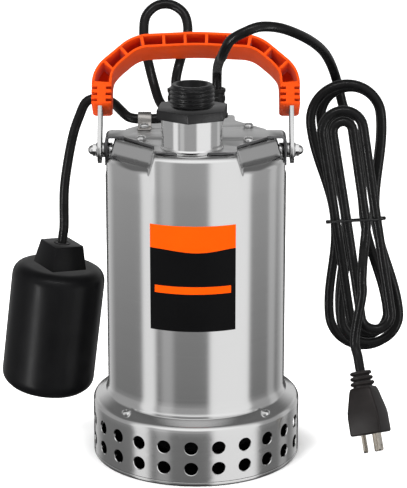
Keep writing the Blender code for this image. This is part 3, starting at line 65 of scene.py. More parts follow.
# Sizes shared with the CAD source
GAP = 0.3 * MM
BASE_RADIUS = 79.0 * MM
BASE_WALL = 1.4 * MM
BASE_CORNER = 5.0 * MM
BASE_PLATE = 3.2 * MM
LEDGE_TOP = 47.0 * MM
LEDGE_BORE = 61.0 * MM
INLET_COLUMNS = 24
INLET_RADIUS = 4.9 * MM
INLET_ROWS = (13.9 * MM, 30.2 * MM)
INLET_TURN = math.radians(-2.5)
DRUM_RADIUS = 67.5 * MM
DRUM_LOW_TOP = 237.0 * MM
DRUM_HIGH_TOP = 248.0 * MM
DRUM_CORNER = 6.0 * MM
PLATE_BOTTOM = 248.3 * MM
PLATE_TOP = 250.3 * MM
EAR_NOTCH_FROM = 58.0 * MM
EAR_NOTCH_HALF = 12.5 * MM
EAR_NOTCH_FLOOR = 225.0 * MM
PIVOT_HEIGHT = 237.4 * MM
OUTLET = Vector((-2.5, -40.5, 0.0)) * MM
NECK_RADIUS = 22.4 * MM
NECK_WALL = 1.8 * MM
NECK_TOP = 272.0 * MM
HEX_CORNER_RADIUS = 28.0 * MM
HEX_TOP = 279.3 * MM
HEX_TURN = math.radians(-5.7)
THREAD_DEPTH = 1.3 * MM
THREAD_PITCH = 3.2 * MM
THREAD_TOP = 296.1 * MM
CORD_RADIUS = 3.7 * MM
GLAND_X = (-15.3 * MM, 16.0 * MM)
GLAND_Y = 52.0 * MM
GLAND_TOP = 273.0 * MM
HANDLE_LEAN = math.radians(33.0)
GRIP_SECTION = 11.0 * MM
GRIP_DEPTH = 28.0 * MM
GRIP_POCKET_DEPTH = 19.0 * MM
GRIP_POCKETS = 11
GRIP_WALL = 2.0 * MM
GRIP_RIB = 2.2 * MM
GRIP_SOLID_LEG = 17.0 * MM
SCREW_HEAD_HEIGHT = 2.2 * MM
FLOAT_TOP_CENTRE = Vector((-106.2, 41.0, 135.0)) * MM
FLOAT_TILT = math.radians(7.0)
FLOAT_RADIUS = 36.2 * MM
FLOAT_HEIGHT = 102.0 * MM
BOSS_HEIGHT = 18.0 * MM
BOSS_BASE = 15.5 * MM
BOSS_TIP = 12.5 * MM
HANK_CENTRE = Vector((124.0, 22.0, 176.8)) * MM
HANK_TILT = math.radians(8.0)
HANK_TURNS = 5
HANK_CLIMBS = (1.5, 2.5, 3.5)
HANK_CLIMB_SPAN = 0.25
HANK_LAYERS = 4
HANK_STEP = 7.95 * MM
HANK_PITCH = 8.35 * MM
HANK_INNER = 16.3 * MM
HANK_RUN = 78.8 * MM
HANK_FRONT_INNER = 5.3 * MM
HANK_FRONT_RUN = 73.8 * MM
HANK_WAIST = 5.0 * MM
HANK_LEAD = 46.0 * MM
HANK_LEAD_STEPS = 8
HANK_LEVEL = 10.0 * MM
HANK_END_SHARE = 1.8
PLUG_PLACE = Vector((126.0, -5.0, 63.8)) * MM
PLUG_TILT = math.radians(9.0)
PLUG_LEAN = math.radians(24.0)
PLUG_TURN = math.radians(-28.0)
PLUG_FACE = -48.5 * MM
BLADE_SPACING = 12.7 * MM
BLADE_LENGTH = 13.4 * MM
BLADE_ROOT = PLUG_FACE + 1.0 * MM
BLADE_END = PLUG_FACE - GAP - BLADE_LENGTH
PIN_RADIUS = 2.4 * MM
GROUND_PIN_OFFSET = 8.0 * MM

# Sizes of the looks alone
LEDGE_SLOPE = math.radians(24.0)
INLET_STEPS = 10
PLATEAU_FOOT = 3.4 * MM
PLATEAU_SLOPE = 4.6 * MM
THREAD_RADIUS = 16.0 * MM
OUTLET_BORE = 11.4 * MM
SPIGOT_END = 265.0 * MM
THREAD_CREST, THREAD_FLANK, THREAD_SWELL = 1.7, 4.6, 1.15
CORD_START = 268.0 * MM
CURVE_STEPS = 12
GRIP_LEG_SPREAD = 4.0 * MM
GRIP_LEG_EASE = 26.0 * MM
GRIP_BEND = 10.0 * MM
HANK_FAN = math.radians(1.6)
HANK_TAIL_SHIFT = 6.0 * MM
TIE_ROLL = math.radians(-3.0)
TIE_TILT = math.radians(-14.0)
TIE_WIRE = 0.75 * MM
TIE_TWIST = 0.8 * MM
NUT_RADIUS = 4.9 * MM
NUT_DOME = 3.8 * MM
FIRST_SCREW_TURN, SCREW_TURN = 0.35, 0.7
BOSS_TURN = math.radians(79.0)

# Outlines in millimetres: the drum's side as (past its radius, height), a gland as (radius, height, fillet),
# half of the grip's centre line as (across, up), its notches' middles as distances from a leg's end, a nut's
# flange and a screw's shank like the gland, and the plug's body as (height, half width, half depth, corner)
DRUM_SIDE = (
    (0.0, 216.0), (0.0, 170.0), (0.0, 120.0), (0.0, 80.0), (0.0, 62.0), (0.0, 58.0),
    (0.25, 55.0), (0.7, 53.2), (1.4, 51.8), (1.7, 51.2), (1.5, 50.2), (0.9, 48.0))
GLAND_PROFILE = (
    (3.5, 268.0), (4.4, 270.4), (5.4, 273.0, 0.5), (6.7, 273.0, 0.6), (6.7, 270.6, 0.5), (6.0, 269.4, 0.4),
    (6.0, 267.4, 0.4), (6.5, 266.6, 0.3), (6.5, 263.6, 0.3), (6.0, 262.8, 0.3), (6.3, 256.0, 0.8),
    (7.0, 254.2, 0.6), (8.6, 253.4, 0.6), (8.6, 250.6, 0.3), (6.4, 250.6), (6.4, 246.0), (0.0, 246.0))
GRIP_CORNERS = ((72.2, 31.4), (72.2, 57.0), (45.0, 81.5), (0.0, 83.7))
LEG_NOTCHES = (3.0, 7.8, 12.6)
NUT_FLANGE = ((0.0, 74.1), (5.4, 74.1, 0.3), (5.4, 73.3, 0.2), (0.0, 73.3))
SCREW_SHANK = ((3.6, 0.2), (3.4, 0.0), (1.9, 0.0), (1.9, -4.0), (0.0, -4.0))
PLUG_OUTLINES = (
    (-12.2, 7.2, 7.0, 3.0), (-13.0, 8.4, 8.0, 2.4), (-15.5, 9.2, 8.6, 2.0), (-30.0, 12.4, 10.4, 1.8),
    (-34.0, 12.8, 10.8, 1.8), (-46.9, 12.9, 11.0, 1.8), (-48.0, 12.6, 10.7, 1.8), (-48.5, 12.0, 10.1, 1.6))

# Cord routes in millimetres, as in the CAD source, with the arch's first points eased
FLOAT_LEAD_ROUTE = (
    (-15.3, 52.0, 280.0), (-13.4, 54.5, 289.0), (-10.8, 62.5, 297.0), (-7.6, 70.0, 306.5),
    (-6.4, 75.0, 316.0), (-9.6, 79.5, 326.0), (-19.0, 82.5, 332.0), (-30.0, 82.0, 331.5),
    (-38.5, 78.5, 324.0), (-40.2, 73.5, 312.0), (-38.6, 69.0, 299.0), (-35.6, 64.0, 286.0),
    (-32.2, 57.5, 274.5), (-28.6, 49.0, 265.0), (-24.6, 42.0, 260.0), (-21.8, 35.0, 257.3),
    (-22.8, 28.2, 256.2), (-27.2, 23.4, 256.0), (-32.0, 22.0, 256.0), (-35.0, 22.0, 256.0),
    (-38.5, 22.0, 256.0), (-42.0, 22.0, 256.0), (-45.0, 22.0, 256.0), (-51.0, 24.2, 257.0),
    (-56.8, 32.0, 260.2), (-62.5, 42.5, 263.2), (-69.0, 47.8, 264.6), (-76.7, 50.0, 264.7))
FLOAT_DROP_ROUTE = (
    (-81.0, 50.0, 264.7), (-85.2, 49.6, 261.2), (-88.8, 48.6, 253.2), (-93.6, 47.0, 240.0),
    (-98.0, 45.0, 220.0), (-101.6, 43.0, 195.0))
POWER_ARCH_ROUTE = (
    (16.0, 52.0, 280.0), (16.1, 48.5, 287.0), (16.4, 40.0, 292.0), (17.0, 21.0, 298.6),
    (17.8, 2.0, 305.2), (19.0, -14.0, 310.2), (21.0, -25.0, 317.6), (25.6, -32.0, 326.4),
    (35.0, -35.5, 332.5), (46.0, -33.0, 336.0), (60.0, -26.0, 334.0), (74.0, -13.0, 327.0),
    (86.5, 4.0, 317.4), (95.8, 21.5, 306.4), (102.4, 36.0, 293.4), (107.6, 43.4, 278.0),
    (113.4, 43.6, 257.0))


# Materials

NOISE_RANGE = (0.3, 0.7)
GRAIN_DEPTH = 0.2 * MM


def map_range(tree, value, given, wanted):
    """A value carried from one range to another by a node of its own."""
    node = tree.nodes.new("ShaderNodeMapRange")
    for socket, number in zip(("From Min", "From Max", "To Min", "To Max"), (*given, *wanted)):
        node.inputs[socket].default_value = number
    tree.links.new(value, node.inputs["Value"])
    return node.outputs["Result"]


def noise(tree, place, scale, detail):
    node = tree.nodes.new("ShaderNodeTexNoise")
    node.inputs["Scale"].default_value = scale
    node.inputs["Detail"].default_value = detail
    tree.links.new(place, node.inputs["Vector"])
    return node.outputs["Fac"]


def triple(value):
    """Three numbers, given as such or as one for all."""
    return value if isinstance(value, tuple) else (value, value, value)


def finish(name, colour, roughness, scale, tint, wander, bump=0.0, grain=700.0, shine=0.5, metallic=0.0):
    """A procedural finish: slow colour change, wandering roughness and a fine grain in the normal."""
    material = bpy.data.materials.new(name)
    material.use_nodes = True
    tree = material.node_tree
    shader = tree.nodes["Principled BSDF"]
    shader.inputs["Metallic"].default_value = metallic
    shader.inputs["Specular IOR Level"].default_value = shine
    place = tree.nodes.new("ShaderNodeTexCoord").outputs["Object"]
    stretch = tree.nodes.new("ShaderNodeMapping")
    stretch.inputs["Scale"].default_value = triple(scale)
    tree.links.new(place, stretch.inputs["Vector"])
    slow = noise(tree, stretch.outputs["Vector"], 1.0, 5.0)
    ramp = tree.nodes.new("ShaderNodeValToRGB")
    for element, edge, change in zip(ramp.color_ramp.elements, NOISE_RANGE, (-tint, tint)):
        element.position = edge
        element.color = (*(min(1.0, part * (1 + change)) for part in triple(colour)), 1.0)
    tree.links.new(slow, ramp.inputs["Fac"])
    tree.links.new(ramp.outputs["Color"], shader.inputs["Base Color"])
    rough = map_range(tree, slow, NOISE_RANGE, (max(0.02, roughness - wander), roughness + wander))
    tree.links.new(rough, shader.inputs["Roughness"])
    if bump:
        relief = tree.nodes.new("ShaderNodeBump")
        relief.inputs["Strength"].default_value = bump
        relief.inputs["Distance"].default_value = GRAIN_DEPTH
        tree.links.new(noise(tree, place, grain, 3.0), relief.inputs["Height"])
        tree.links.new(relief.outputs["Normal"], shader.inputs["Normal"])
    return material


def metal(*values):
    return finish(*values, metallic=1.0)


BRUSHED = (6.0, 6.0, 1500.0)
STEEL = metal("drum_steel", 0.72, 0.15, BRUSHED, 0.012, 0.02)
SKIRT_STEEL = metal("skirt_steel", 0.71, 0.16, BRUSHED, 0.012, 0.02)
# Near-black painted shade for the skirt's inner faces and the base disc's top, seen through the inlets
PAINTED_SHADE_INNER = finish("inner_painted_shade", 0.004, 0.8, 60.0, 0.1, 0.08, shine=0.03)
NECK_STEEL = metal("neck_steel", 0.76, 0.12, BRUSHED, 0.012, 0.02)
SHEET = metal("grey_sheet", 0.70, 0.38, 40.0, 0.04, 0.04, 0.04, 1400.0)
# A darker copy of the grey sheet: painted shade on the bracket's upright and sloping faces
EAR_PAINTED_SHADE = metal("ear_sheet", (0.20, 0.20, 0.205), 0.34, 40.0, 0.04, 0.04, 0.04, 1400.0)
LINK_STEEL = metal("link_steel", 0.68, 0.25, 200.0, 0.05, 0.05)
CLIP_STEEL = metal("clip_steel", (0.50, 0.48, 0.46), 0.28, 200.0, 0.06, 0.05)
BRIGHT = metal("bright_steel", 0.74, 0.17, 200.0, 0.05, 0.05)
NICKEL = metal("plated_nickel", (0.66, 0.61, 0.54), 0.2, 300.0, 0.06, 0.06)
FITTING = finish("moulded_black", (0.005, 0.005, 0.0053), 0.34, 90.0, 0.15, 0.05, 0.10, 1600.0, 0.20)
FLOAT_BLACK = finish("float_black", (0.0032, 0.0032, 0.0035), 0.33, 50.0, 0.15, 0.05, 0.03, 1500.0, 0.09)
CORD_BLACK = finish("cord_jacket", (0.0040, 0.0040, 0.0041), 0.24, 120.0, 0.2, 0.05, 0.008, 1800.0, 0.14)
RUBBER = finish("gland_rubber", 0.006, 0.36, 150.0, 0.2, 0.06, 0.10, 1500.0, 0.14)
PLUG_BLACK = finish("plug_moulding", (0.0085, 0.0072, 0.0070), 0.42, 110.0, 0.2, 0.06, 0.14, 1500.0, 0.16)
ORANGE = finish("orange_moulding", (0.74, 0.068, 0.006), 0.42, 45.0, 0.05, 0.06, 0.08, 1700.0, 0.06)
LABEL_BLACK = finish("label_black", (0.0035, 0.0035, 0.0038), 0.42, 30.0, 0.1, 0.04, shine=0.04)
LABEL_ORANGE = finish("label_orange", (0.80, 0.075, 0.001), 0.45, 30.0, 0.03, 0.04, shine=0.02)
WHITE = finish("white_plastic", (0.75, 0.74, 0.70), 0.5, 80.0, 0.04, 0.06, 0.08)
# Near black rather than grey: painted shade on the cast parts inside the pump, seen through the inlets
CAST_PAINTED_SHADE = finish("cast_grey", (0.010, 0.010, 0.011), 0.75, 70.0, 0.12, 0.1, 0.3, 900.0, 0.06)
LAMINATION = metal("lamination", (0.30, 0.30, 0.31), 0.5, (20.0, 20.0, 2000.0), 0.15, 0.1)
COPPER = metal("winding_copper", (0.72, 0.32, 0.16), 0.38, (300.0, 300.0, 600.0), 0.2, 0.1, 0.2, 1200.0)
GLOSSY_BLACKS = (FITTING, FLOAT_BLACK, CORD_BLACK, RUBBER, PLUG_BLACK)
BY_SLOT = {
    "drum_steel": STEEL, "grey_sheet": SHEET, "bright_steel": BRIGHT, "black_plastic": FITTING,
    "black_rubber": RUBBER, "orange_plastic": ORANGE, "white_plastic": WHITE, "nickel": NICKEL,
    "cast_grey": CAST_PAINTED_SHADE, "lamination": LAMINATION, "copper": COPPER}
BY_NODE = {"cord_clip": CLIP_STEEL, "handle_link_left": LINK_STEEL, "handle_link_right": LINK_STEEL}


# Mesh helpers

def bridge(shape, first, second):
    """Faces between two rings, either of which may be a single point."""
    if len(first) == len(second) == 1:
        return
    count = max(len(first), len(second))
    for index in range(count):
        after = (index + 1) % count
        corners = [first[index % len(first)], first[after % len(first)],
                   second[after % len(second)], second[index % len(second)]]
        unique = list(dict.fromkeys(corners))
        if len(unique) > 2:
            shape.faces.new(unique)


def loft(sections, shape=None, closed=False, capped=False):
    """A skin through rings of points."""
    shape = shape or bmesh.new()
    rings = [[shape.verts.new(point) for point in section] for section in sections]
    for first, second in zip(rings, rings[1:]):
        bridge(shape, first, second)
    if closed:
        bridge(shape, rings[-1], rings[0])
    if capped:
        shape.faces.new(rings[0][::-1])
        shape.faces.new(rings[-1])
    return shape


def filleted(corners, steps=4):
    """An outline of (across, up, fillet) corners with each fillet drawn as an arc."""
    line = []
    for index, (x, y, *fillet) in enumerate(corners):
        if fillet:
            before, after = corners[index - 1], corners[(index + 1) % len(corners)]
            near = (Vector(corner[:2]) for corner in (before, (x, y), after))
            line += [tuple(point) for point in corner_points(*near, *fillet, steps)]
        else:
            line.append((x, y))
    return line


def corner_points(before, here, after, fillet, steps):
    incoming, outgoing = (before - here).normalized(), (after - here).normalized()
    half = incoming.angle(outgoing) / 2
    reach = min(fillet / math.tan(half), (before - here).length * 0.49, (after - here).length * 0.49)
    start, end = here + incoming * reach, here + outgoing * reach
    return [start * (1 - t) ** 2 + here * 2 * t * (1 - t) + end * t * t
            for t in (step / steps for step in range(steps + 1))]


def above(height):
    """A point straight above the origin."""
    return Vector((0.0, 0.0, height))


def circle(radius, height, steps, first=0.0):
    """Points of a level circle round Z."""
    angles = (first + 2 * math.pi * index / steps for index in range(steps))
    return [Vector((radius * math.cos(a), radius * math.sin(a), height)) for a in angles]


def lathe(profile, steps=96, place=IDENTITY, shape=None, closed=False):
    """A profile of (radius, height) points, going down the outside, turned round Z."""
    sections = []
    for radius, height in profile:
        points = circle(radius, height, steps) if radius > 1e-6 else [above(height)]
        sections.append([place @ point for point in points])
    return loft(sections, shape, closed)


def dome(radius, foot, rise, power=1.0):
    """Profile of a domed top from its middle to its rim; a power under 1 makes the shoulder fuller."""
    angles = [math.radians(a) for a in range(80, -1, -10)]
    return [(0.0, foot + rise)] + [(radius * math.cos(a) ** power, foot + rise * math.sin(a)) for a in angles]


def scaled(corners):
    """Corners given in millimetres, in metres."""
    return [tuple(value * MM for value in corner) for corner in corners]


def prism(shape, sides, base, tip, height, place):
    bmesh.ops.create_cone(shape, cap_ends=True, segments=sides, radius1=base, radius2=tip, depth=height,
                          matrix=place)


def soften(shape, edges, width, profile=0.6):
    bmesh.ops.bevel(shape, geom=list(edges), offset=width, segments=2, profile=profile, affect="EDGES")


def even_points(line, spacing):
    """Points along a polyline at an even spacing near the one asked for."""
    lengths = [0.0]
    for before, after in zip(line, line[1:]):
        lengths.append(lengths[-1] + (after - before).length)
    count = max(2, round(lengths[-1] / spacing))
    even, index = [], 0
    for step in range(count + 1):
        target = lengths[-1] * step / count
        while index < len(line) - 2 and lengths[index + 1] < target:
            index += 1
        span = lengths[index + 1] - lengths[index]
        even.append(line[index].lerp(line[index + 1], min(1.0, (target - lengths[index]) / span)))
    return even


def smooth_curve(points, spacing):
    """Even points along a smooth curve that runs through the given ones."""
    points = [Vector(point) for point in points]
    padded = [points[0] * 2 - points[1], *points, points[-1] * 2 - points[-2]]
    dense = []
    for index in range(1, len(padded) - 2):
        a, b, c, d = padded[index - 1:index + 3]
        for t in (step / CURVE_STEPS for step in range(CURVE_STEPS)):
            dense.append(0.5 * ((2 * b) + (c - a) * t + (2 * a - 5 * b + 4 * c - d) * t * t
                                + (3 * b - a - 3 * c + d) * t ** 3))
    return even_points([*dense, points[-1]], spacing)


def tube(path, radius, sides=18, shape=None, closed=False):
    """A round tube along a path, its rings turned as little as possible, with rounded-off ends."""
    normal = (path[1] - path[0]).orthogonal().normalized()
    sections = []
    for index, point in enumerate(path):
        ahead = path[(index + 1) % len(path)] if closed else path[min(index + 1, len(path) - 1)]
        behind = path[index - 1] if closed or index else path[0]
        tangent = (ahead - behind).normalized()
        normal = (normal - tangent * normal.dot(tangent)).normalized()
        across = tangent.cross(normal)
        angles = (2 * math.pi * side / sides for side in range(sides))
        sections.append([point + (normal * math.cos(a) + across * math.sin(a)) * radius for a in angles])
    return loft(sections, shape, closed, capped=not closed)


def link_mesh(name, shape, *materials):
    """An object in the scene with the bmesh's mesh; the bmesh itself is freed."""
    item = bpy.data.objects.new(name, bpy.data.meshes.new(name))
    shape.to_mesh(item.data)
    shape.free()
    for material in materials:
        item.data.materials.append(material)
    scene.collection.objects.link(item)
    return item


def add(name, shape, material, slot, body="pump", replaces=(), sharp=38.0, ride=True):
    """Turn a bmesh into a piece that rides on a body and stands for CAD nodes."""
    bmesh.ops.remove_doubles(shape, verts=shape.verts, dist=WELD_DISTANCE)
    bmesh.ops.recalc_face_normals(shape, faces=shape.faces)
    item = link_mesh(name, shape, material)
    item.data.shade_smooth()
    item.data.set_sharp_from_angle(angle=math.radians(sharp))
    if slot in MOULDED_SLOTS:
        MOULDED.append(item)
    if ride:
        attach(item, body)
    if replaces:
        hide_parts(*replaces)
    return item


def smooth_step(value):
    value = min(1.0, max(0.0, value))
    return value * value * (3 - 2 * value)


# Camera and studio

CAMERA_LENS = 147.84
CAMERA_SENSOR = 36.0
CAMERA_PLACE = (0.0057, -1.450, 0.5962)
CAMERA_TARGET = (0.0057, 0.0, 0.1642)

# Studio panels by compass direction, in degrees from the front and positive to the right, with the light that
# a reflection finds there: two soft boxes, two dim cards and the wall behind, in a grey room
STUDIO_GREY = 0.28
PANEL_EDGE = 6
STUDIO_PANELS = ((-70, -56, 0.95), (-42, -32, 0.5), (20, 70, 1.0), (110, 120, 0.5))
BACK_WALL_EDGES = (128, 150)
BACK_WALL_LIGHT = 0.65

# Reflected light by a direction's height or depth, as a range of that and what it gives
BAND_CONTRAST = ((-0.40, -0.25), (1.42, 0.72))
CEILING_SHARE = ((0.30, 0.55), (0.0, 1.0))
CEILING_LIGHT = ((-0.55, 0.05), (1.15, 0.16))
GROUND_LIGHT = ((-0.42, -0.62), (1.0, 0.10))
DIM_BEHIND, DIM_BELOW, DIM_SHARE = 0.86, 0.05, 0.9
SOFT_LIGHT = (0.40, 0.40, 0.40, 1.0)
WHITE_LIGHT = (1.0, 1.0, 1.0, 1.0)
# The floor glows less within this width of the base's rim: a painted contact shadow
SHADOW_WIDTH = 0.03
FLOOR_GLOW = (0.10, 0.80)

# Lights as name, place, target, size and power, and strips that share one target
STUDIO_LIGHTS = (
    ("key_light", (-0.8, -1.2, 1.5), (0.0, 0.0, 0.15), (0.7, 0.9), 24.0),
    ("fill_light", (1.2, -1.0, 1.0), (0.05, 0.0, 0.15), (0.6, 1.0), 9.0),
    ("top_light", (0.0, 0.1, 1.9), (0.0, 0.0, 0.1), (1.4, 1.2), 22.0))
STRIP_TARGET = (0.0, 0.0, 0.18)
STRIP_LIGHTS = (
    ("left_strip", (-0.95, -0.80, -0.20), (0.06, 1.0), 10.0),
    ("right_strip", (0.95, -0.70, -0.15), (0.05, 1.0), 4.0),
    ("high_strip", (0.0, -0.75, 1.25), (1.0, 0.05), 5.0))


def look_at(item, target):
    item.rotation_euler = (Vector(target) - item.location).to_track_quat("-Z", "Y").to_euler()


def build_camera():
    camera = bpy.data.objects.new("camera", bpy.data.cameras.new("camera"))
    camera.data.lens = CAMERA_LENS
    camera.data.sensor_width = CAMERA_SENSOR
    camera.location = CAMERA_PLACE
    scene.collection.objects.link(camera)
    look_at(camera, CAMERA_TARGET)
    scene.camera = camera


def studio_bands():
    """The panels as stops of (direction, light), with soft edges between them and the grey."""
    near, far = BACK_WALL_EDGES
    wall = [(near, STUDIO_GREY), (far, BACK_WALL_LIGHT), (180, BACK_WALL_LIGHT)]
    bands = [(-angle, light) for angle, light in reversed(wall)]
    for start, end, light in STUDIO_PANELS:
        bands += [(start - PANEL_EDGE, STUDIO_GREY), (start, light), (end, light),
                  (end + PANEL_EDGE, STUDIO_GREY)]
    return bands + wall


def build_world():
    """White round the object, with grey flags by compass direction that only reflections see."""
    world = bpy.data.worlds.new("studio")
    scene.world = world
    world.use_nodes = True
    tree = world.node_tree
    nodes, links = tree.nodes, tree.links
    nodes.clear()
    axes = nodes.new("ShaderNodeSeparateXYZ")
    links.new(nodes.new("ShaderNodeTexCoord").outputs["Generated"], axes.inputs["Vector"])
    x, y, z = (axes.outputs[axis] for axis in "XYZ")

    def feed(node, sockets, values):
        for socket, value in zip(sockets, values):
            if isinstance(value, bpy.types.NodeSocket):
                links.new(value, node.inputs[socket])
            else:
                node.inputs[socket].default_value = value

    def work_out(operation, *values):
        node = nodes.new("ShaderNodeMath")
        node.operation = operation
        feed(node, (0, 1), values)
        return node.outputs["Value"]

    def mix(*values):
        node = nodes.new("ShaderNodeMix")
        node.data_type = "RGBA"
        feed(node, ("Factor", "A", "B"), values)
        return node.outputs["Result"]

    angle = work_out("ARCTAN2", x, work_out("MULTIPLY", y, -1.0))
    bands = nodes.new("ShaderNodeValToRGB")
    elements = bands.color_ramp.elements
    stops = studio_bands()
    for degrees, _ in stops[1:-1]:
        elements.new(degrees / 360 + 0.5)
    for element, (_, value) in zip(elements, stops):
        element.color = (value, value, value, 1.0)
    links.new(work_out("ADD", work_out("DIVIDE", angle, 2 * math.pi), 0.5), bands.inputs["Fac"])
    contrast = nodes.new("ShaderNodeGamma")
    feed(contrast, ("Color", "Gamma"), (bands.outputs["Color"], map_range(tree, z, *BAND_CONTRAST)))
    ceiling = map_range(tree, y, *CEILING_LIGHT)
    reflected = mix(map_range(tree, z, *CEILING_SHARE), contrast.outputs["Color"], ceiling)
    behind, below = work_out("GREATER_THAN", y, DIM_BEHIND), work_out("LESS_THAN", z, DIM_BELOW)
    dim = work_out("SUBTRACT", 1.0, work_out("MULTIPLY", work_out("MULTIPLY", behind, below), DIM_SHARE))
    grounded = nodes.new("ShaderNodeVectorMath")
    grounded.operation = "SCALE"
    strength = work_out("MULTIPLY", map_range(tree, z, *GROUND_LIGHT), dim)
    feed(grounded, ("Vector", "Scale"), (reflected, strength))
    kind = nodes.new("ShaderNodeLightPath")
    chosen = mix(kind.outputs["Is Glossy Ray"], SOFT_LIGHT, grounded.outputs["Vector"])
    background = nodes.new("ShaderNodeBackground")
    links.new(mix(kind.outputs["Is Camera Ray"], chosen, WHITE_LIGHT), background.inputs["Color"])
    output = nodes.new("ShaderNodeOutputWorld")
    links.new(background.outputs["Background"], output.inputs["Surface"])


def add_light(name, place, target, size, power, reflected):
    light = bpy.data.lights.new(name, "AREA")
    light.shape = "RECTANGLE"
    light.size, light.size_y = size
    light.energy = power
    item = bpy.data.objects.new(name, light)
    item.location = place
    item.visible_glossy = reflected
    scene.collection.objects.link(item)
    look_at(item, target)
    return item


def build_studio():
    build_world()
    for name, place, target, size, power in STUDIO_LIGHTS:
        add_light(name, place, target, size, power, False)
    pale = finish("pale_floor", 0.86, 0.6, 3.0, 0.01, 0.03, shine=0.1)
    tree = pale.node_tree
    shader = tree.nodes["Principled BSDF"]
    shader.inputs["Emission Color"].default_value = WHITE_LIGHT
    # Emission that falls from full to low towards the base's rim: a painted contact shadow round the base
    away = tree.nodes.new("ShaderNodeVectorMath")
    away.operation = "LENGTH"
    tree.links.new(tree.nodes.new("ShaderNodeTexCoord").outputs["Object"], away.inputs["Vector"])
    glow = map_range(tree, away.outputs["Value"], (BASE_RADIUS, BASE_RADIUS + SHADOW_WIDTH), FLOOR_GLOW)
    tree.links.new(glow, shader.inputs["Emission Strength"])
    floor = link_mesh("floor", lathe([(0.0, 0.0), (0.2, 0.0), (0.6, 0.0), (4.0, 0.0)], 64), pale)
    floor.visible_glossy = False
    scene.view_settings.view_transform = "Standard"


def build_strip_lights(pieces):
    """Narrow bright strips that only the black mouldings see, for the long highlights on cords and float.

    An upright surface seen from above mirrors what lies below its own height, so the side strips reach under
    the floor, which casts no shadow from them.
    """
    seen_by = bpy.data.collections.new("black_mouldings")
    for item in pieces:
        seen_by.objects.link(item)
    for name, place, size, power in STRIP_LIGHTS:
        strip = add_light(name, place, STRIP_TARGET, size, power, True)
        strip.light_linking.receiver_collection = seen_by
        strip.light_linking.blocker_collection = seen_by


# Cords

def hank_place(across, along, layer):
    """A point of the hank from its offsets across and along it and its layer, counted from the back."""
    forward = layer - (HANK_LAYERS - 1) / 2
    tilt = HANK_TILT + HANK_FAN * forward
    side = Vector((math.cos(tilt), 0.0, math.sin(tilt)))
    up = Vector((-math.sin(tilt), 0.0, math.cos(tilt)))
    depth = forward * HANK_STEP
    return HANK_CENTRE + side * across + up * along + Vector((0.0, -depth, 0.0))


def hank_radius(turn):
    """Half the width of a loop, which grows outwards in one layer and back inwards in the next."""
    steps, since, way = 0.0, 0.0, 1.0
    for climb in (*HANK_CLIMBS, HANK_TURNS):
        steps += way * max(0.0, min(turn, climb) - since)
        since, way = climb, -way
    return hank_size(turn, HANK_INNER, HANK_FRONT_INNER) + HANK_PITCH * steps


def climbed(turn, climb):
    """How far the cord has passed from one layer to the next, from 0 to 1."""
    return smooth_step((turn - climb) / HANK_CLIMB_SPAN + 0.5)


def hank_size(turn, back, front):
    """A size that passes from the back layers' wide loops to the front layers' narrow ones."""
    return back + (front - back) * climbed(turn, HANK_CLIMBS[1])


def hank_layer(turn):
    return sum(climbed(turn, climb) for climb in HANK_CLIMBS)


def hank_point(turn):
    """A point of the hank's loops: two drawn-in runs and two round ends to a turn."""
    radius = hank_radius(turn)
    reference = HANK_INNER + HANK_PITCH * HANK_CLIMBS[0] / 2
    run, arc = 2 * HANK_RUN, math.pi * reference * HANK_END_SHARE
    travelled = ((turn % 1.0) * 2 * (run + arc) + HANK_RUN) % (2 * (run + arc))
    side = 1.0 if travelled < run + arc else -1.0
    travelled %= run + arc
    half = hank_size(turn, HANK_RUN, HANK_FRONT_RUN)
    if travelled < run:
        share = 1 - travelled / HANK_RUN
        drawn = hank_size(turn, HANK_INNER, HANK_FRONT_INNER) - HANK_WAIST
        drawn *= math.cos(math.pi * share / 2) ** 2
        return hank_place(side * (radius - drawn), side * share * half, hank_layer(turn))
    angle = math.pi * (travelled - run) / arc
    return hank_place(side * radius * math.cos(angle), side * (-half - radius * math.sin(angle)),
                      hank_layer(turn))


def hank_lead(end):
    """The stretch that joins the hank's waist to the arch (end 1) or to the tail (end -1)."""
    layer, drift, shift = 0.0, 0.0, 0.0
    if end < 0:
        layer, drift, shift = HANK_LAYERS - 1.0, math.tan(HANK_TILT), HANK_TAIL_SHIFT
    points = []
    for step in range(HANK_LEAD_STEPS):
        along = HANK_LEAD * (1 - step / HANK_LEAD_STEPS)
        climb = smooth_step((along - HANK_LEVEL) / (HANK_LEAD - 2 * CORD_RADIUS - HANK_LEVEL))
        across = HANK_WAIST - drift * along - shift * smooth_step(along / HANK_LEAD)
        points.append(hank_place(across, end * along, layer - end * climb))
    return points if end > 0 else points[::-1]


def hank_turns(samples):
    """Points of all the hank's turns, with so many to a turn."""
    return [hank_point(index / samples) for index in range(HANK_TURNS * samples)]


def hank_line():
    waist = hank_place(HANK_WAIST, 0.0, HANK_LAYERS - 1.0)
    return [*hank_lead(1), *hank_turns(48), waist, *hank_lead(-1)]


def plug_frame():
    lean = Matrix.Rotation(-PLUG_LEAN, 4, "X") @ Matrix.Rotation(-PLUG_TILT, 4, "Y")
    return Matrix.Translation(PLUG_PLACE) @ lean @ Matrix.Rotation(PLUG_TURN, 4, "Z")


def in_metres(points):
    return [Vector(point) * MM for point in points]


def gland_way(gland):
    """The first points of a cord, up through its gland."""
    return [gland + above(height) for height in (CORD_START, GLAND_TOP + GAP)]


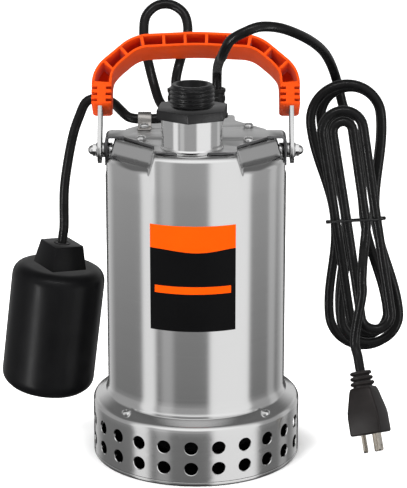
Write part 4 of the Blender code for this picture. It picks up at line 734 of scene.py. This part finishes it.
def build_power_cord(plug_pieces):
    """The mains lead in one piece: out of its gland, over the arch, through the hank and into the plug."""
    gland = Vector((GLAND_X[1], GLAND_Y, 0.0))
    line = hank_line()
    down = (line[1] - line[0]).normalized()
    out = (line[-1] - line[-2]).normalized()
    entry = [plug_frame() @ above(CORD_RADIUS * step) for step in (7, 3, -1)]
    route = [*gland_way(gland), *in_metres(POWER_ARCH_ROUTE), line[0] - down * 2 * CORD_RADIUS, *line,
             line[-1] + out * 2 * CORD_RADIUS, *entry]
    path = smooth_curve(route, 3.0 * MM)
    cord = add("power_cord", tube(path, CORD_RADIUS), CORD_BLACK, "black_rubber",
               replaces=("power_cord_arch", "power_cord_hank", "power_cord_tail"))


def float_frame():
    return Matrix.Translation(FLOAT_TOP_CENTRE) @ Matrix.Rotation(FLOAT_TILT, 4, "Y")


def build_float_cord():
    """The float's lead: out of its gland, round a loop, through the clip and down into the float."""
    gland = Vector((GLAND_X[0], GLAND_Y, 0.0))
    boss = float_frame()
    entry = [boss @ above(BOSS_HEIGHT + CORD_RADIUS * step) for step in (4, 2, -0.6)]
    route = [*gland_way(gland), *in_metres(FLOAT_LEAD_ROUTE), *in_metres(FLOAT_DROP_ROUTE), *entry]
    path = smooth_curve(route, 2.5 * MM)
    cord = add("float_cord", tube(path, CORD_RADIUS), CORD_BLACK, "black_rubber",
               replaces=("float_cord_lead", "float_cord_drop"), ride=False)
    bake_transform(cord)


def build_tie():
    """A twist tie drawn tight round the strands at the hank's waist, with a twisted end on each side."""
    lean = (Matrix.Translation(HANK_CENTRE) @ Matrix.Rotation(TIE_ROLL, 4, "Y")
            @ Matrix.Rotation(TIE_TILT, 4, "X"))
    into = lean.inverted()
    line = [into @ point for point in (*hank_lead(1), *hank_turns(240), *hank_lead(-1))]
    strands = []
    for before, after in zip(line, line[1:]):
        if (before.z > 0) != (after.z > 0):
            strands.append(before.lerp(after, before.z / (before.z - after.z)))
    loop = []
    for ray in circle(1.0, 0.0, 72):
        strand = max(strands, key=ray.dot)
        loop.append(Vector((strand.x, strand.y, 0.0)) + ray * (CORD_RADIUS + 0.9 * MM))
    shape = tube([lean @ point for point in loop], TIE_WIRE, 8, closed=True)
    for side, length in ((1, 3.2 * MM), (-1, 2.4 * MM)):
        start = max(loop, key=lambda point: side * point.x)
        for phase in (0.0, math.pi):
            twist = []
            for share in (step / 24 for step in range(25)):
                angle = phase + share * 4 * math.pi
                turn = Vector((0.0, math.cos(angle), math.sin(angle))) * TIE_TWIST
                twist.append(lean @ (start + Vector((side * length * share, 0.0, 0.0)) + turn))
            tube(twist, TIE_WIRE, 8, shape)
    add("hank_twist_tie", shape, FITTING, "black_plastic", replaces=("hank_tie",))


# Base

def inlet_patch(shape, centre, row, bottom, top, radius, hole, flip):
    """One cell of the skirt with a round hole: the cell's edge, two rings between and the hole's rim."""
    half = math.pi / INLET_COLUMNS
    rises = 8
    across = [-half + 2 * half * i / INLET_STEPS for i in range(INLET_STEPS)]
    up = [(top - bottom) * i / rises for i in range(rises)]
    edge = [(a, bottom) for a in across] + [(half, bottom + h) for h in up]
    edge += [(-a, top) for a in across] + [(-half, top - h) for h in up]
    rim = []
    for angle, height in edge:
        turn = math.atan2(height - row, angle * radius)
        rim.append((hole * math.cos(turn) / radius, row + hole * math.sin(turn)))
    rings = []
    for share in (0.0, 0.55, 0.85, 1.0):
        ring = []
        for (a, h), (b, k) in zip(edge, rim):
            angle, height = centre + a + (b - a) * share, h + (k - h) * share
            ring.append(Vector((radius * math.cos(angle), radius * math.sin(angle), height)))
        rings.append(ring)
    if flip:
        rings.reverse()
    known = set(shape.faces)
    loft(rings, shape)
    # Faces of an inner cell take the second slot, a near-black painted shade
    for face in set(shape.faces) - known:
        face.material_index = int(flip)
    return rings[0] if flip else rings[-1]


def build_base():
    """Bottom disc and the skirt over it, with its rows of inlets and its sloped ledge; the skirt's inner
    faces and the disc's top carry a near-black painted shade.
    """
    plate = filleted([(0.0, BASE_PLATE), (BASE_RADIUS, BASE_PLATE, 0.4 * MM), (BASE_RADIUS, 0.0, 1.2 * MM),
                      (0.0, 0.0)])
    disc = add("base_disc", lathe(plate, 180), SKIRT_STEEL, "drum_steel", replaces=("base_plate",))
    # The disc's top, seen through the inlets, takes the near-black painted shade
    disc.data.materials.append(PAINTED_SHADE_INNER)
    for polygon in disc.data.polygons:
        polygon.material_index = int(polygon.center.z > BASE_PLATE - 0.1 * MM)
    shape = bmesh.new()
    bottom, bend = BASE_PLATE + GAP, LEDGE_TOP - BASE_CORNER
    middle = sum(INLET_ROWS) / 2
    rim_width, inner = 0.45 * MM, BASE_RADIUS - BASE_WALL
    for column in range(INLET_COLUMNS):
        centre = -math.pi / 2 + INLET_TURN + 2 * math.pi * column / INLET_COLUMNS
        for row, low, high in ((INLET_ROWS[0], bottom, middle), (INLET_ROWS[1], middle, bend)):
            outside = inlet_patch(shape, centre, row, low, high, BASE_RADIUS, INLET_RADIUS + rim_width, False)
            inside = inlet_patch(shape, centre, row, low, high, inner, INLET_RADIUS, True)
            spread = (BASE_RADIUS - rim_width) / inner
            throat = [Vector((point.x * spread, point.y * spread, point.z)) for point in inside]
            loft([outside, throat, inside], shape)
    first = -math.pi / 2 + INLET_TURN - math.pi / INLET_COLUMNS
    arc = [(math.pi / 2 - LEDGE_SLOPE) * index / 8 for index in range(9)]

    def ring(radius, height):
        return circle(radius, height, INLET_COLUMNS * INLET_STEPS, first)

    def corner(radius):
        return [(BASE_RADIUS - BASE_CORNER + radius * math.cos(a), bend + radius * math.sin(a)) for a in arc]

    outer = corner(BASE_CORNER)
    foot = DRUM_RADIUS + 0.6 * MM
    rise = (outer[-1][0] - foot) * math.tan(LEDGE_SLOPE)
    profile = [*outer, (foot, outer[-1][1] + rise), (LEDGE_BORE, LEDGE_TOP),
               (LEDGE_BORE, LEDGE_TOP - BASE_WALL), *corner(BASE_CORNER - BASE_WALL)[::-1]]
    loft([ring(*point) for point in profile], shape)
    loft([ring(inner, bottom), ring(BASE_RADIUS, bottom)], shape)
    skirt = add("strainer_skirt", shape, SKIRT_STEEL, "drum_steel", replaces=("strainer",), sharp=32.0)
    # Second slot: painted shade for the skirt's inner faces
    skirt.data.materials.append(PAINTED_SHADE_INNER)


# Drum

PLATEAU = [(31.0, -81.0), (31.0, -42.0), (60.0, -13.0), (60.0, 13.0), (31.0, 42.0), (31.0, 81.0),
           (-31.0, 81.0), (-31.0, 42.0), (-60.0, 13.0), (-60.0, -13.0), (-31.0, -42.0), (-31.0, -81.0)]


def inside_plateau(x, y):
    """Signed distance in metres to the edge of the pressed plateau, positive inside it."""
    point = Vector((x / MM, y / MM))
    least, inside = 1e9, False
    for index, (ax, ay) in enumerate(PLATEAU):
        bx, by = PLATEAU[index - 1]
        a, edge = Vector((ax, ay)), Vector((bx - ax, by - ay))
        share = min(1.0, max(0.0, (point - a).dot(edge) / edge.length_squared))
        least = min(least, (point - a - edge * share).length)
        if (ay > point.y) != (by > point.y) and point.x < (bx - ax) * (point.y - ay) / (by - ay) + ax:
            inside = not inside
    return least * MM if inside else -least * MM


def drum_top(x, y):
    """Height of the pressed top: low shelf, plateau and the two notches for the bracket's ears."""
    rise = smooth_step((inside_plateau(x, y) + PLATEAU_FOOT) / PLATEAU_SLOPE)
    height = DRUM_LOW_TOP + (DRUM_HIGH_TOP - DRUM_LOW_TOP) * rise
    depth = min((abs(x) - EAR_NOTCH_FROM) / MM, (EAR_NOTCH_HALF - abs(y)) / MM)
    sink = smooth_step((depth + 0.6) / 1.2)
    return height + (EAR_NOTCH_FLOOR - height) * sink


def open_under_outlet(shape):
    """Cut the drum's top open under the outlet's collar and draw the hole's edge onto a circle."""
    hole = NECK_RADIUS - NECK_WALL - MM
    inside = [face for face in shape.faces if (face.calc_center_median() - OUTLET).xy.length < hole]
    bmesh.ops.delete(shape, geom=inside, context="FACES")
    edge = {vert for side in shape.edges if side.is_boundary for vert in side.verts}
    for vert in edge:
        offset = (vert.co - OUTLET).xy
        if offset.length < hole + 2 * MM:
            x, y = OUTLET.xy + offset.normalized() * hole
            vert.co = (x, y, drum_top(x, y))


def build_drum():
    """The can in one skin, from the middle of its pressed top down to the lip at its foot."""
    flat_end = DRUM_RADIUS - DRUM_CORNER
    inner, fine, rows = 18 * MM, 28 * MM, 46
    radii = [inner, 24 * MM] + [fine + (flat_end - fine) * i / rows for i in range(rows + 1)]
    columns = []
    for ray in circle(1.0, 0.0, 480):
        profile = [(radius, drum_top(ray.x * radius, ray.y * radius)) for radius in radii]
        for bend in (math.pi / 2 * part / 9 for part in range(1, 10)):
            radius = flat_end + DRUM_CORNER * math.sin(bend)
            top = drum_top(ray.x * radius, ray.y * radius)
            profile.append((radius, top - DRUM_CORNER * (1 - math.cos(bend))))
        profile += [(DRUM_RADIUS + out, height) for out, height in scaled(DRUM_SIDE)]
        columns.append([ray * radius + above(height) for radius, height in profile])
    shape = loft(zip(*columns))
    middle = [vert for vert in shape.verts if vert.co.xy.length < inner + 0.1 * MM]
    shape.faces.new(sorted(middle, key=lambda vert: math.atan2(vert.co.y, vert.co.x)))
    open_under_outlet(shape)
    add("drum_can", shape, STEEL, "drum_steel", replaces=("drum",), sharp=60.0)


def label_skin(name, sides, lower, upper, raise_by, material):
    """A thin skin bent round the drum between two heights that may change across it."""
    inner, outer = DRUM_RADIUS + 0.02 * MM, DRUM_RADIUS + raise_by
    left, right = (math.asin(side * MM / DRUM_RADIUS) for side in sides)
    columns = 56
    sections = []
    for share in (step / columns for step in range(columns + 1)):
        angle = left + (right - left) * share
        low, high = lower(share) * MM, upper(share) * MM
        points = [(inner, low), (outer, low), (outer, (low + high) / 2), (outer, high), (inner, high)]
        sections.append([Vector((r * math.sin(angle), -r * math.cos(angle), z)) for r, z in points])
    add(name, loft(sections, capped=True), material, "black_plastic")


def build_label():
    """A plain two-tone plate on the front of the drum."""
    def swell(share):
        return 179.6 - 2.2 * math.sin(math.pi * share) ** 2 * (0.4 + 1.2 * share)

    def level(height):
        return lambda share: height

    label_skin("label_field", (-33.0, 29.0), level(117.3), swell, 0.22 * MM, LABEL_BLACK)
    label_skin("label_header", (-33.0, 29.0), swell, level(197.2), 0.22 * MM, LABEL_ORANGE)
    label_skin("label_stripe", (-29.6, 25.6), level(146.0), level(151.6), 0.32 * MM, LABEL_ORANGE)


# Outlet

def build_outlet():
    """Steel collar, and the black hexagon with its threaded spout."""
    place = Matrix.Translation(OUTLET)
    bore_wall = NECK_RADIUS - NECK_WALL
    collar = filleted([(bore_wall, NECK_TOP), (NECK_RADIUS, NECK_TOP, 0.4 * MM),
                       (NECK_RADIUS, PLATE_TOP + 1.4 * MM, 1.0 * MM),
                       (NECK_RADIUS + 0.7 * MM, PLATE_TOP + 0.1 * MM),
                       (NECK_RADIUS, PLATE_BOTTOM), (bore_wall, PLATE_BOTTOM)])
    add("outlet_collar", lathe(collar, 160, place, closed=True), NECK_STEEL, "bright_steel",
        replaces=("outlet_neck",))
    shape = bmesh.new()
    hex_bottom = NECK_TOP + GAP
    hex_place = Matrix.Translation(OUTLET + above((hex_bottom + HEX_TOP) / 2))
    prism(shape, 6, HEX_CORNER_RADIUS, HEX_CORNER_RADIUS, HEX_TOP - hex_bottom,
          hex_place @ Matrix.Rotation(HEX_TURN, 4, "Z"))
    soften(shape, shape.edges, 0.7 * MM)
    steps, rows = 120, 136
    root = THREAD_RADIUS - THREAD_DEPTH
    foot, tip = HEX_TOP - 0.4 * MM, THREAD_TOP - 0.6 * MM
    start, end = HEX_TOP + 0.9 * MM, THREAD_TOP - 1.5 * MM
    sections = []
    for row in range(rows + 1):
        height = foot + (tip - foot) * row / rows
        fade = smooth_step((height - start + 0.5 * MM) / (1.6 * MM))
        fade *= smooth_step((end - height + 0.5 * MM) / (1.8 * MM))
        ring = []
        for index, ray in enumerate(circle(1.0, 0.0, steps)):
            phase = ((height - start) / THREAD_PITCH - index / steps) % 1.0
            crest = min(1.0, max(0.0, THREAD_CREST - THREAD_FLANK * abs(phase - 0.5)))
            radius = root + THREAD_DEPTH * THREAD_SWELL * crest * fade
            ring.append(OUTLET + ray * radius + above(height))
        sections.append(ring)
    for radius, height in ((root - 0.25 * MM, THREAD_TOP - 0.2 * MM), (root - 0.7 * MM, THREAD_TOP),
                           (OUTLET_BORE + 0.8 * MM, THREAD_TOP),
                           (OUTLET_BORE + 0.2 * MM, THREAD_TOP - 0.35 * MM),
                           (OUTLET_BORE, THREAD_TOP - 1.0 * MM), (OUTLET_BORE, SPIGOT_END)):
        sections.append([OUTLET + point for point in circle(radius, height, steps)])
    loft(sections, shape)
    spigot = bore_wall - GAP
    lower = [(OUTLET_BORE, SPIGOT_END), (spigot, SPIGOT_END), (spigot, hex_bottom + 0.5 * MM)]
    lathe(lower, steps, place, shape)
    add("outlet_thread", shape, FITTING, "black_plastic", replaces=("outlet_fitting",), sharp=34.0)


def build_glands():
    """Ribbed rubber sleeves over the two cord entries."""
    for side, x in zip(("float", "power"), GLAND_X):
        sleeve = lathe(filleted(scaled(GLAND_PROFILE), 3), 48, Matrix.Translation((x, GLAND_Y, 0.0)))
        add(f"{side}_gland_sleeve", sleeve, RUBBER, "black_rubber", replaces=(f"{side}_cord_gland",))


# Handle, in the frame of its pivot: X across, Z along the legs, -Y to the front

def grip_path(spacing):
    """Centre line of the grip from the left leg's end to the right one's, as even points."""
    corners = [Vector((-x, z)) * MM for x, z in GRIP_CORNERS] + [Vector(c) * MM for c in GRIP_CORNERS[-2::-1]]
    line = [corners[0]]
    for before, here, after in zip(corners, corners[1:], corners[2:]):
        fillet = GRIP_BEND * math.tan((before - here).angle(after - here) / 2)
        line += corner_points(before, here, after, fillet, 10)
    return even_points([*line, corners[-1]], spacing)


def grip_place(line, index, across, depth):
    """A point of the grip from its offset across the band and its depth behind the front face."""
    ahead = line[min(index + 1, len(line) - 1)] - line[max(index - 1, 0)]
    normal = Vector((-ahead.y, ahead.x)).normalized()
    point = line[index] + normal * across
    return Vector((point.x, depth - GRIP_DEPTH / 2, point.y))


def handle_frame():
    return Matrix.Translation(above(PIVOT_HEIGHT)) @ Matrix.Rotation(-HANDLE_LEAN, 4, "X")


def grip_spread(along):
    """How much wider than the bar the grip is on its inside, at a distance from the leg's end."""
    return GRIP_LEG_SPREAD * (1 - smooth_step((along - GRIP_SOLID_LEG) / GRIP_LEG_EASE))


def grip_section(spread):
    """The channel's outline: two walls and a back, open to the front."""
    half, inset = GRIP_SECTION / 2, GRIP_SECTION / 2 - GRIP_WALL
    return filleted([
        (-half - spread, 0.0, 0.7 * MM), (-inset - spread, 0.0, 0.5 * MM),
        (-inset - spread, GRIP_POCKET_DEPTH, 1.2 * MM), (inset, GRIP_POCKET_DEPTH, 1.2 * MM),
        (inset, 0.0, 0.5 * MM), (half, 0.0, 0.7 * MM), (half, GRIP_DEPTH, 2.4 * MM),
        (-half - spread, GRIP_DEPTH, 2.4 * MM)], 3)


def leg_section(scale, notched):
    """Outline of a solid leg, with its two front corners cut in where a finger notch is."""
    half, depth = (GRIP_SECTION + GRIP_LEG_SPREAD) / 2, GRIP_DEPTH
    cut, reach = (4.4 * MM, 8.0 * MM) if notched else (0.9 * MM, 0.9 * MM)
    bite = 1.0 if notched else 0.29
    front = [(-half, reach), (-half + cut * bite, reach * bite), (-half + cut, 0.0)]
    back = [(half, depth - 2.0 * MM), (half - 0.6 * MM, depth - 0.6 * MM), (half - 2.0 * MM, depth)]
    outline = front + [(-x, y) for x, y in reversed(front)] + back + [(-x, y) for x, y in reversed(back)]
    return [(x * scale - GRIP_LEG_SPREAD / 2, depth / 2 + (y - depth / 2) * (1 + scale) / 2)
            for x, y in outline]


def place_between(line, place, across, depth):
    """A point of the grip at a place between two points of its centre line."""
    whole = min(int(place), len(line) - 2)
    start, end = (grip_place(line, index, across, depth) for index in (whole, whole + 1))
    return start.lerp(end, place - whole)


def build_grip():
    """The open channel of the bar, its ribs, and the two solid legs with their finger notches."""
    spacing = 1.0 * MM
    line = grip_path(spacing)
    last = len(line) - 1
    solid = round(GRIP_SOLID_LEG / spacing)
    inset = GRIP_SECTION / 2 - GRIP_WALL + 0.2 * MM
    lean = handle_frame()
    shape = bmesh.new()
    channel = []
    for index in range(solid - 1, last - solid + 2):
        section = grip_section(grip_spread(min(index, last - index) * spacing))
        channel.append([lean @ grip_place(line, index, *point) for point in section])
    loft(channel, shape)
    pitch = (last - 2 * solid) / GRIP_POCKETS
    for rib in range(1, GRIP_POCKETS):
        middle, half = solid + rib * pitch, GRIP_RIB / spacing / 2
        low = -inset - grip_spread(min(middle, last - middle) * spacing)
        rings = []
        for depth, trim in ((GRIP_POCKET_DEPTH + 0.5 * MM, 0.0), (0.75 * MM, 0.0), (0.35 * MM, 0.12),
                            (0.2 * MM, 0.45)):
            start, end = middle - half + trim, middle + half - trim
            rings.append([lean @ place_between(line, place, across, depth) for place, across in (
                (start, low), (end, low), (end, inset), (start, inset))])
        loft(rings, shape, capped=True)
    cuts = [(0.0, 0.84, False), (0.5, 0.93, False), (1.2, 1.0, False)]
    for middle in LEG_NOTCHES:
        cuts += [(middle + edge, 1.0, notched) for edge, notched in (
            (-1.15, False), (-1.05, True), (1.05, True), (1.15, False))]
    cuts.append((17.6, 1.0, False))
    for side in (-1, 1):
        rings = []
        for along, scale, notched in cuts:
            place = along if side < 0 else last - along
            rings.append([lean @ place_between(line, place, *point) for point in leg_section(scale, notched)])
        loft(rings, shape, capped=True)
    add("grip_moulding", shape, ORANGE, "orange_plastic", "handle", ("handle_grip",), 36.0)


def build_nuts():
    """Domed nuts with a flange, on the outer ends of the pivots."""
    for side, name in ((-1, "left"), (1, "right")):
        turn = Matrix.Translation(above(PIVOT_HEIGHT)) @ Matrix.Rotation(side * math.pi / 2, 4, "Y")
        shape = bmesh.new()
        prism(shape, 6, NUT_RADIUS, NUT_RADIUS, 3.0 * MM, turn @ Matrix.Translation(above(75.2 * MM)))
        soften(shape, shape.edges, 0.35 * MM)
        lathe([*dome(NUT_DOME, 76.4 * MM, 3.9 * MM), (NUT_DOME, 76.0 * MM)], 40, turn, shape)
        lathe(filleted(scaled(NUT_FLANGE)), 40, turn, shape)
        add(f"acorn_nut_{name}", shape, BRIGHT, "bright_steel", replaces=(f"domed_nut_{name}",))


# Screws

def screw_mesh():
    """A pan-head screw with a cross recess, standing at the origin."""
    shape = lathe([*dome(3.6 * MM, 1.2 * MM, 1.7 * MM, 0.6), *scaled(SCREW_SHANK)], 32)
    bmesh.ops.recalc_face_normals(shape, faces=shape.faces)
    body = link_mesh("screw_blank", shape)
    recess_top, taper = 3.0 * MM, 0.55
    cutters = []
    for turn in (0.0, math.pi / 2):
        cut = bmesh.new()
        slot = Matrix.Rotation(turn, 4, "Z") @ Matrix.Diagonal((4.2 * MM, 0.9 * MM, 2.4 * MM, 1.0))
        bmesh.ops.create_cube(cut, size=1.0, matrix=Matrix.Translation(above(recess_top)) @ slot)
        for vert in cut.verts:
            if vert.co.z < recess_top:
                vert.co.x *= taper
                vert.co.y *= taper
        cutters.append(link_mesh("recess", cut))
        modifier = body.modifiers.new("recess", "BOOLEAN")
        modifier.object = cutters[-1]
        modifier.solver = "EXACT"
    bpy.context.view_layer.update()
    mesh = bpy.data.meshes.new_from_object(body.evaluated_get(bpy.context.evaluated_depsgraph_get()))
    for item in (*cutters, body):
        bpy.data.objects.remove(item, do_unlink=True)
    return mesh


def build_screws():
    """One screw for each in the CAD, each turned a little further than the last."""
    model = screw_mesh()
    names = [f"base_screw_{index}" for index in range(1, 5)]
    names += [f"bracket_screw_{corner}" for corner in ("front_left", "front_right", "rear_right")]
    names.append("clip_screw")
    for order, name in enumerate(names):
        low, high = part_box(name)
        shape = bmesh.new()
        shape.from_mesh(model)
        seat = Vector(((low.x + high.x) / 2, (low.y + high.y) / 2, high.z - SCREW_HEAD_HEIGHT))
        place = Matrix.Translation(seat) @ Matrix.Rotation(FIRST_SCREW_TURN + order * SCREW_TURN, 4, "Z")
        bmesh.ops.transform(shape, verts=shape.verts, matrix=place)
        add(f"{name}_head", shape, BRIGHT, "bright_steel", replaces=(name,), sharp=30.0)


# Float

def build_float():
    """The float's round body and the square boss where its lead goes in."""
    place = float_frame()
    low = -FLOAT_HEIGHT
    profile = filleted([
        (0.0, 0.05 * MM), (FLOAT_RADIUS, 0.0, 11.0 * MM), (FLOAT_RADIUS, low / 2),
        (FLOAT_RADIUS, low + 8 * MM, 16 * MM), (FLOAT_RADIUS - 9 * MM, low + 0.6 * MM, 12 * MM),
        (0.0, low)], 10)
    body = lathe(profile, 128, place)
    add("float_body", body, FLOAT_BLACK, "black_plastic", "float", ("float_shell",), 50.0)
    shape = bmesh.new()
    middle = Matrix.Translation(above(BOSS_HEIGHT / 2)) @ Matrix.Rotation(BOSS_TURN, 4, "Z")
    prism(shape, 4, BOSS_BASE * math.sqrt(2), BOSS_TIP * math.sqrt(2), BOSS_HEIGHT + 2 * GAP, middle)
    uprights = [edge for edge in shape.edges if abs(edge.verts[0].co.z - edge.verts[1].co.z) > MM]
    soften(shape, uprights, 1.6 * MM, 0.5)
    top = max(vert.co.z for vert in shape.verts)
    rim = [edge for edge in shape.edges if all(vert.co.z > top - 0.1 * MM for vert in edge.verts)]
    soften(shape, rim, 0.6 * MM)
    lathe(filleted([(CORD_RADIUS - 0.1 * MM, top - 0.6 * MM), (5.0 * MM, top + 0.5 * MM, 0.4 * MM),
                    (6.4 * MM, top + 0.5 * MM, 0.4 * MM), (6.8 * MM, top - 0.2 * MM)], 3), 40, shape=shape)
    bmesh.ops.transform(shape, verts=shape.verts, matrix=place)
    add("float_boss", shape, FLOAT_BLACK, "black_plastic", "float", ("float_cap",), 30.0)


# Plug

def build_plug():
    """Ribbed sleeve, waisted body with soft edges, two blades with holes and a round earth pin."""
    place = plug_frame()
    sleeve = [(CORD_RADIUS - 0.2 * MM, 0.2 * MM)]
    for rib in range(3):
        low, wide = -4.0 * (rib + 1), 8.3 + rib * 0.5
        sleeve += scaled([(wide - 1.0, low + 4.0), (wide, low + 3.2), (wide, low + 2.0),
                          (wide - 0.8, low + 1.2), (wide - 1.9, low + 0.8), (wide - 1.9, low + 0.1)])
    shape = lathe([*sleeve, (7.2 * MM, -16 * MM)], 40)
    sections = []
    for height, w, d, corner in scaled(PLUG_OUTLINES):
        outline = filleted([(w, -d, corner), (w, d, corner), (-w, d, corner), (-w, -d, corner)], 3)
        sections.append([Vector((*point, height)) for point in outline])
    loft(sections, shape, capped=True)
    bmesh.ops.transform(shape, verts=shape.verts, matrix=place)
    pieces = [add("plug_moulding", shape, PLUG_BLACK, "black_rubber", replaces=("plug_body",), sharp=42.0)]
    for side, name in ((-1, "left"), (1, "right")):
        blade = blade_shape(place, side * BLADE_SPACING / 2)
        pieces.append(add(f"plug_prong_{name}", blade, NICKEL, "nickel", replaces=(f"plug_blade_{name}",),
                          sharp=25.0))
    pin = filleted([(PIN_RADIUS, BLADE_ROOT), (PIN_RADIUS, BLADE_END, 1.6 * MM), (0.0, BLADE_END)], 6)
    earth = lathe(pin, 28, place @ Matrix.Translation((0.0, GROUND_PIN_OFFSET, 0.0)))
    pieces.append(add("plug_earth_pin", earth, NICKEL, "nickel", replaces=("plug_ground_pin",)))
    return pieces


def blade_shape(place, x):
    """A flat blade with a round hole and a chamfered tip."""
    wide, half, middle = 3.15 * MM, 0.75 * MM, (BLADE_ROOT + BLADE_END) / 2
    hole_centre, hole = Vector((0.0, BLADE_END + 3.6 * MM)), 1.5 * MM
    side = [(wide, BLADE_ROOT), (wide, middle), (wide, BLADE_END + 1.4 * MM), (wide - 1.2 * MM, BLADE_END)]
    edge = [*side, (0.0, BLADE_END), *((-across, up) for across, up in reversed(side)), (0.0, BLADE_ROOT)]
    rim = [hole_centre + (Vector(point) - hole_centre).normalized() * hole for point in edge]
    rings = []
    for outline, depths in ((rim, (half, -half)), (edge, (-half, half))):
        for depth in depths:
            rings.append([place @ Vector((x + depth, point[0], point[1])) for point in outline])
    shape = loft(rings, closed=True)
    bmesh.ops.recalc_face_normals(shape, faces=shape.faces)
    return shape


# CAD nodes that stay

def dress_nodes():
    """Soft edges, smooth shading and a procedural finish on every CAD node that still shows, with painted
    shade on the bracket's upright and sloping faces.
    """
    slots = {part["node"]: part["material_slot"] for part in frame["record"]["subparts"]}
    for name, item in NODES.items():
        item.data.materials.clear()
        item.data.materials.append(BY_NODE.get(name, BY_SLOT[slots[name]]))
        if item.hide_render:
            continue
        # The bracket's faces that are not level take the darker copy of its sheet: painted shade
        if name == "handle_bracket":
            item.data.materials.append(EAR_PAINTED_SHADE)
        for polygon in item.data.polygons:
            polygon.use_smooth = True
            polygon.material_index = int(name == "handle_bracket" and abs(polygon.normal.z) < 0.9)
        weld = item.modifiers.new("weld", "WELD")
        weld.merge_threshold = 0.01 * MM
        bevel = item.modifiers.new("soft_edges", "BEVEL")
        bevel.width = 0.3 * MM
        bevel.segments = 2
        bevel.limit_method = "ANGLE"
        bevel.angle_limit = math.radians(40)
        bevel.use_clamp_overlap = True
        bevel.harden_normals = True


build_camera()
build_power_cord(build_plug())
build_float_cord()
build_tie()
build_studio()
build_base()
build_drum()
build_label()
build_outlet()
build_glands()
build_grip()
build_nuts()
build_screws()
build_float()
dress_nodes()
build_strip_lights([piece for piece in MOULDED if piece.active_material in GLOSSY_BLACKS])
for piece in (*MOULDED, NODES["switch_capsule"], NODES["switch_ball"]):
    piece.visible_glossy = piece.name.startswith("label")
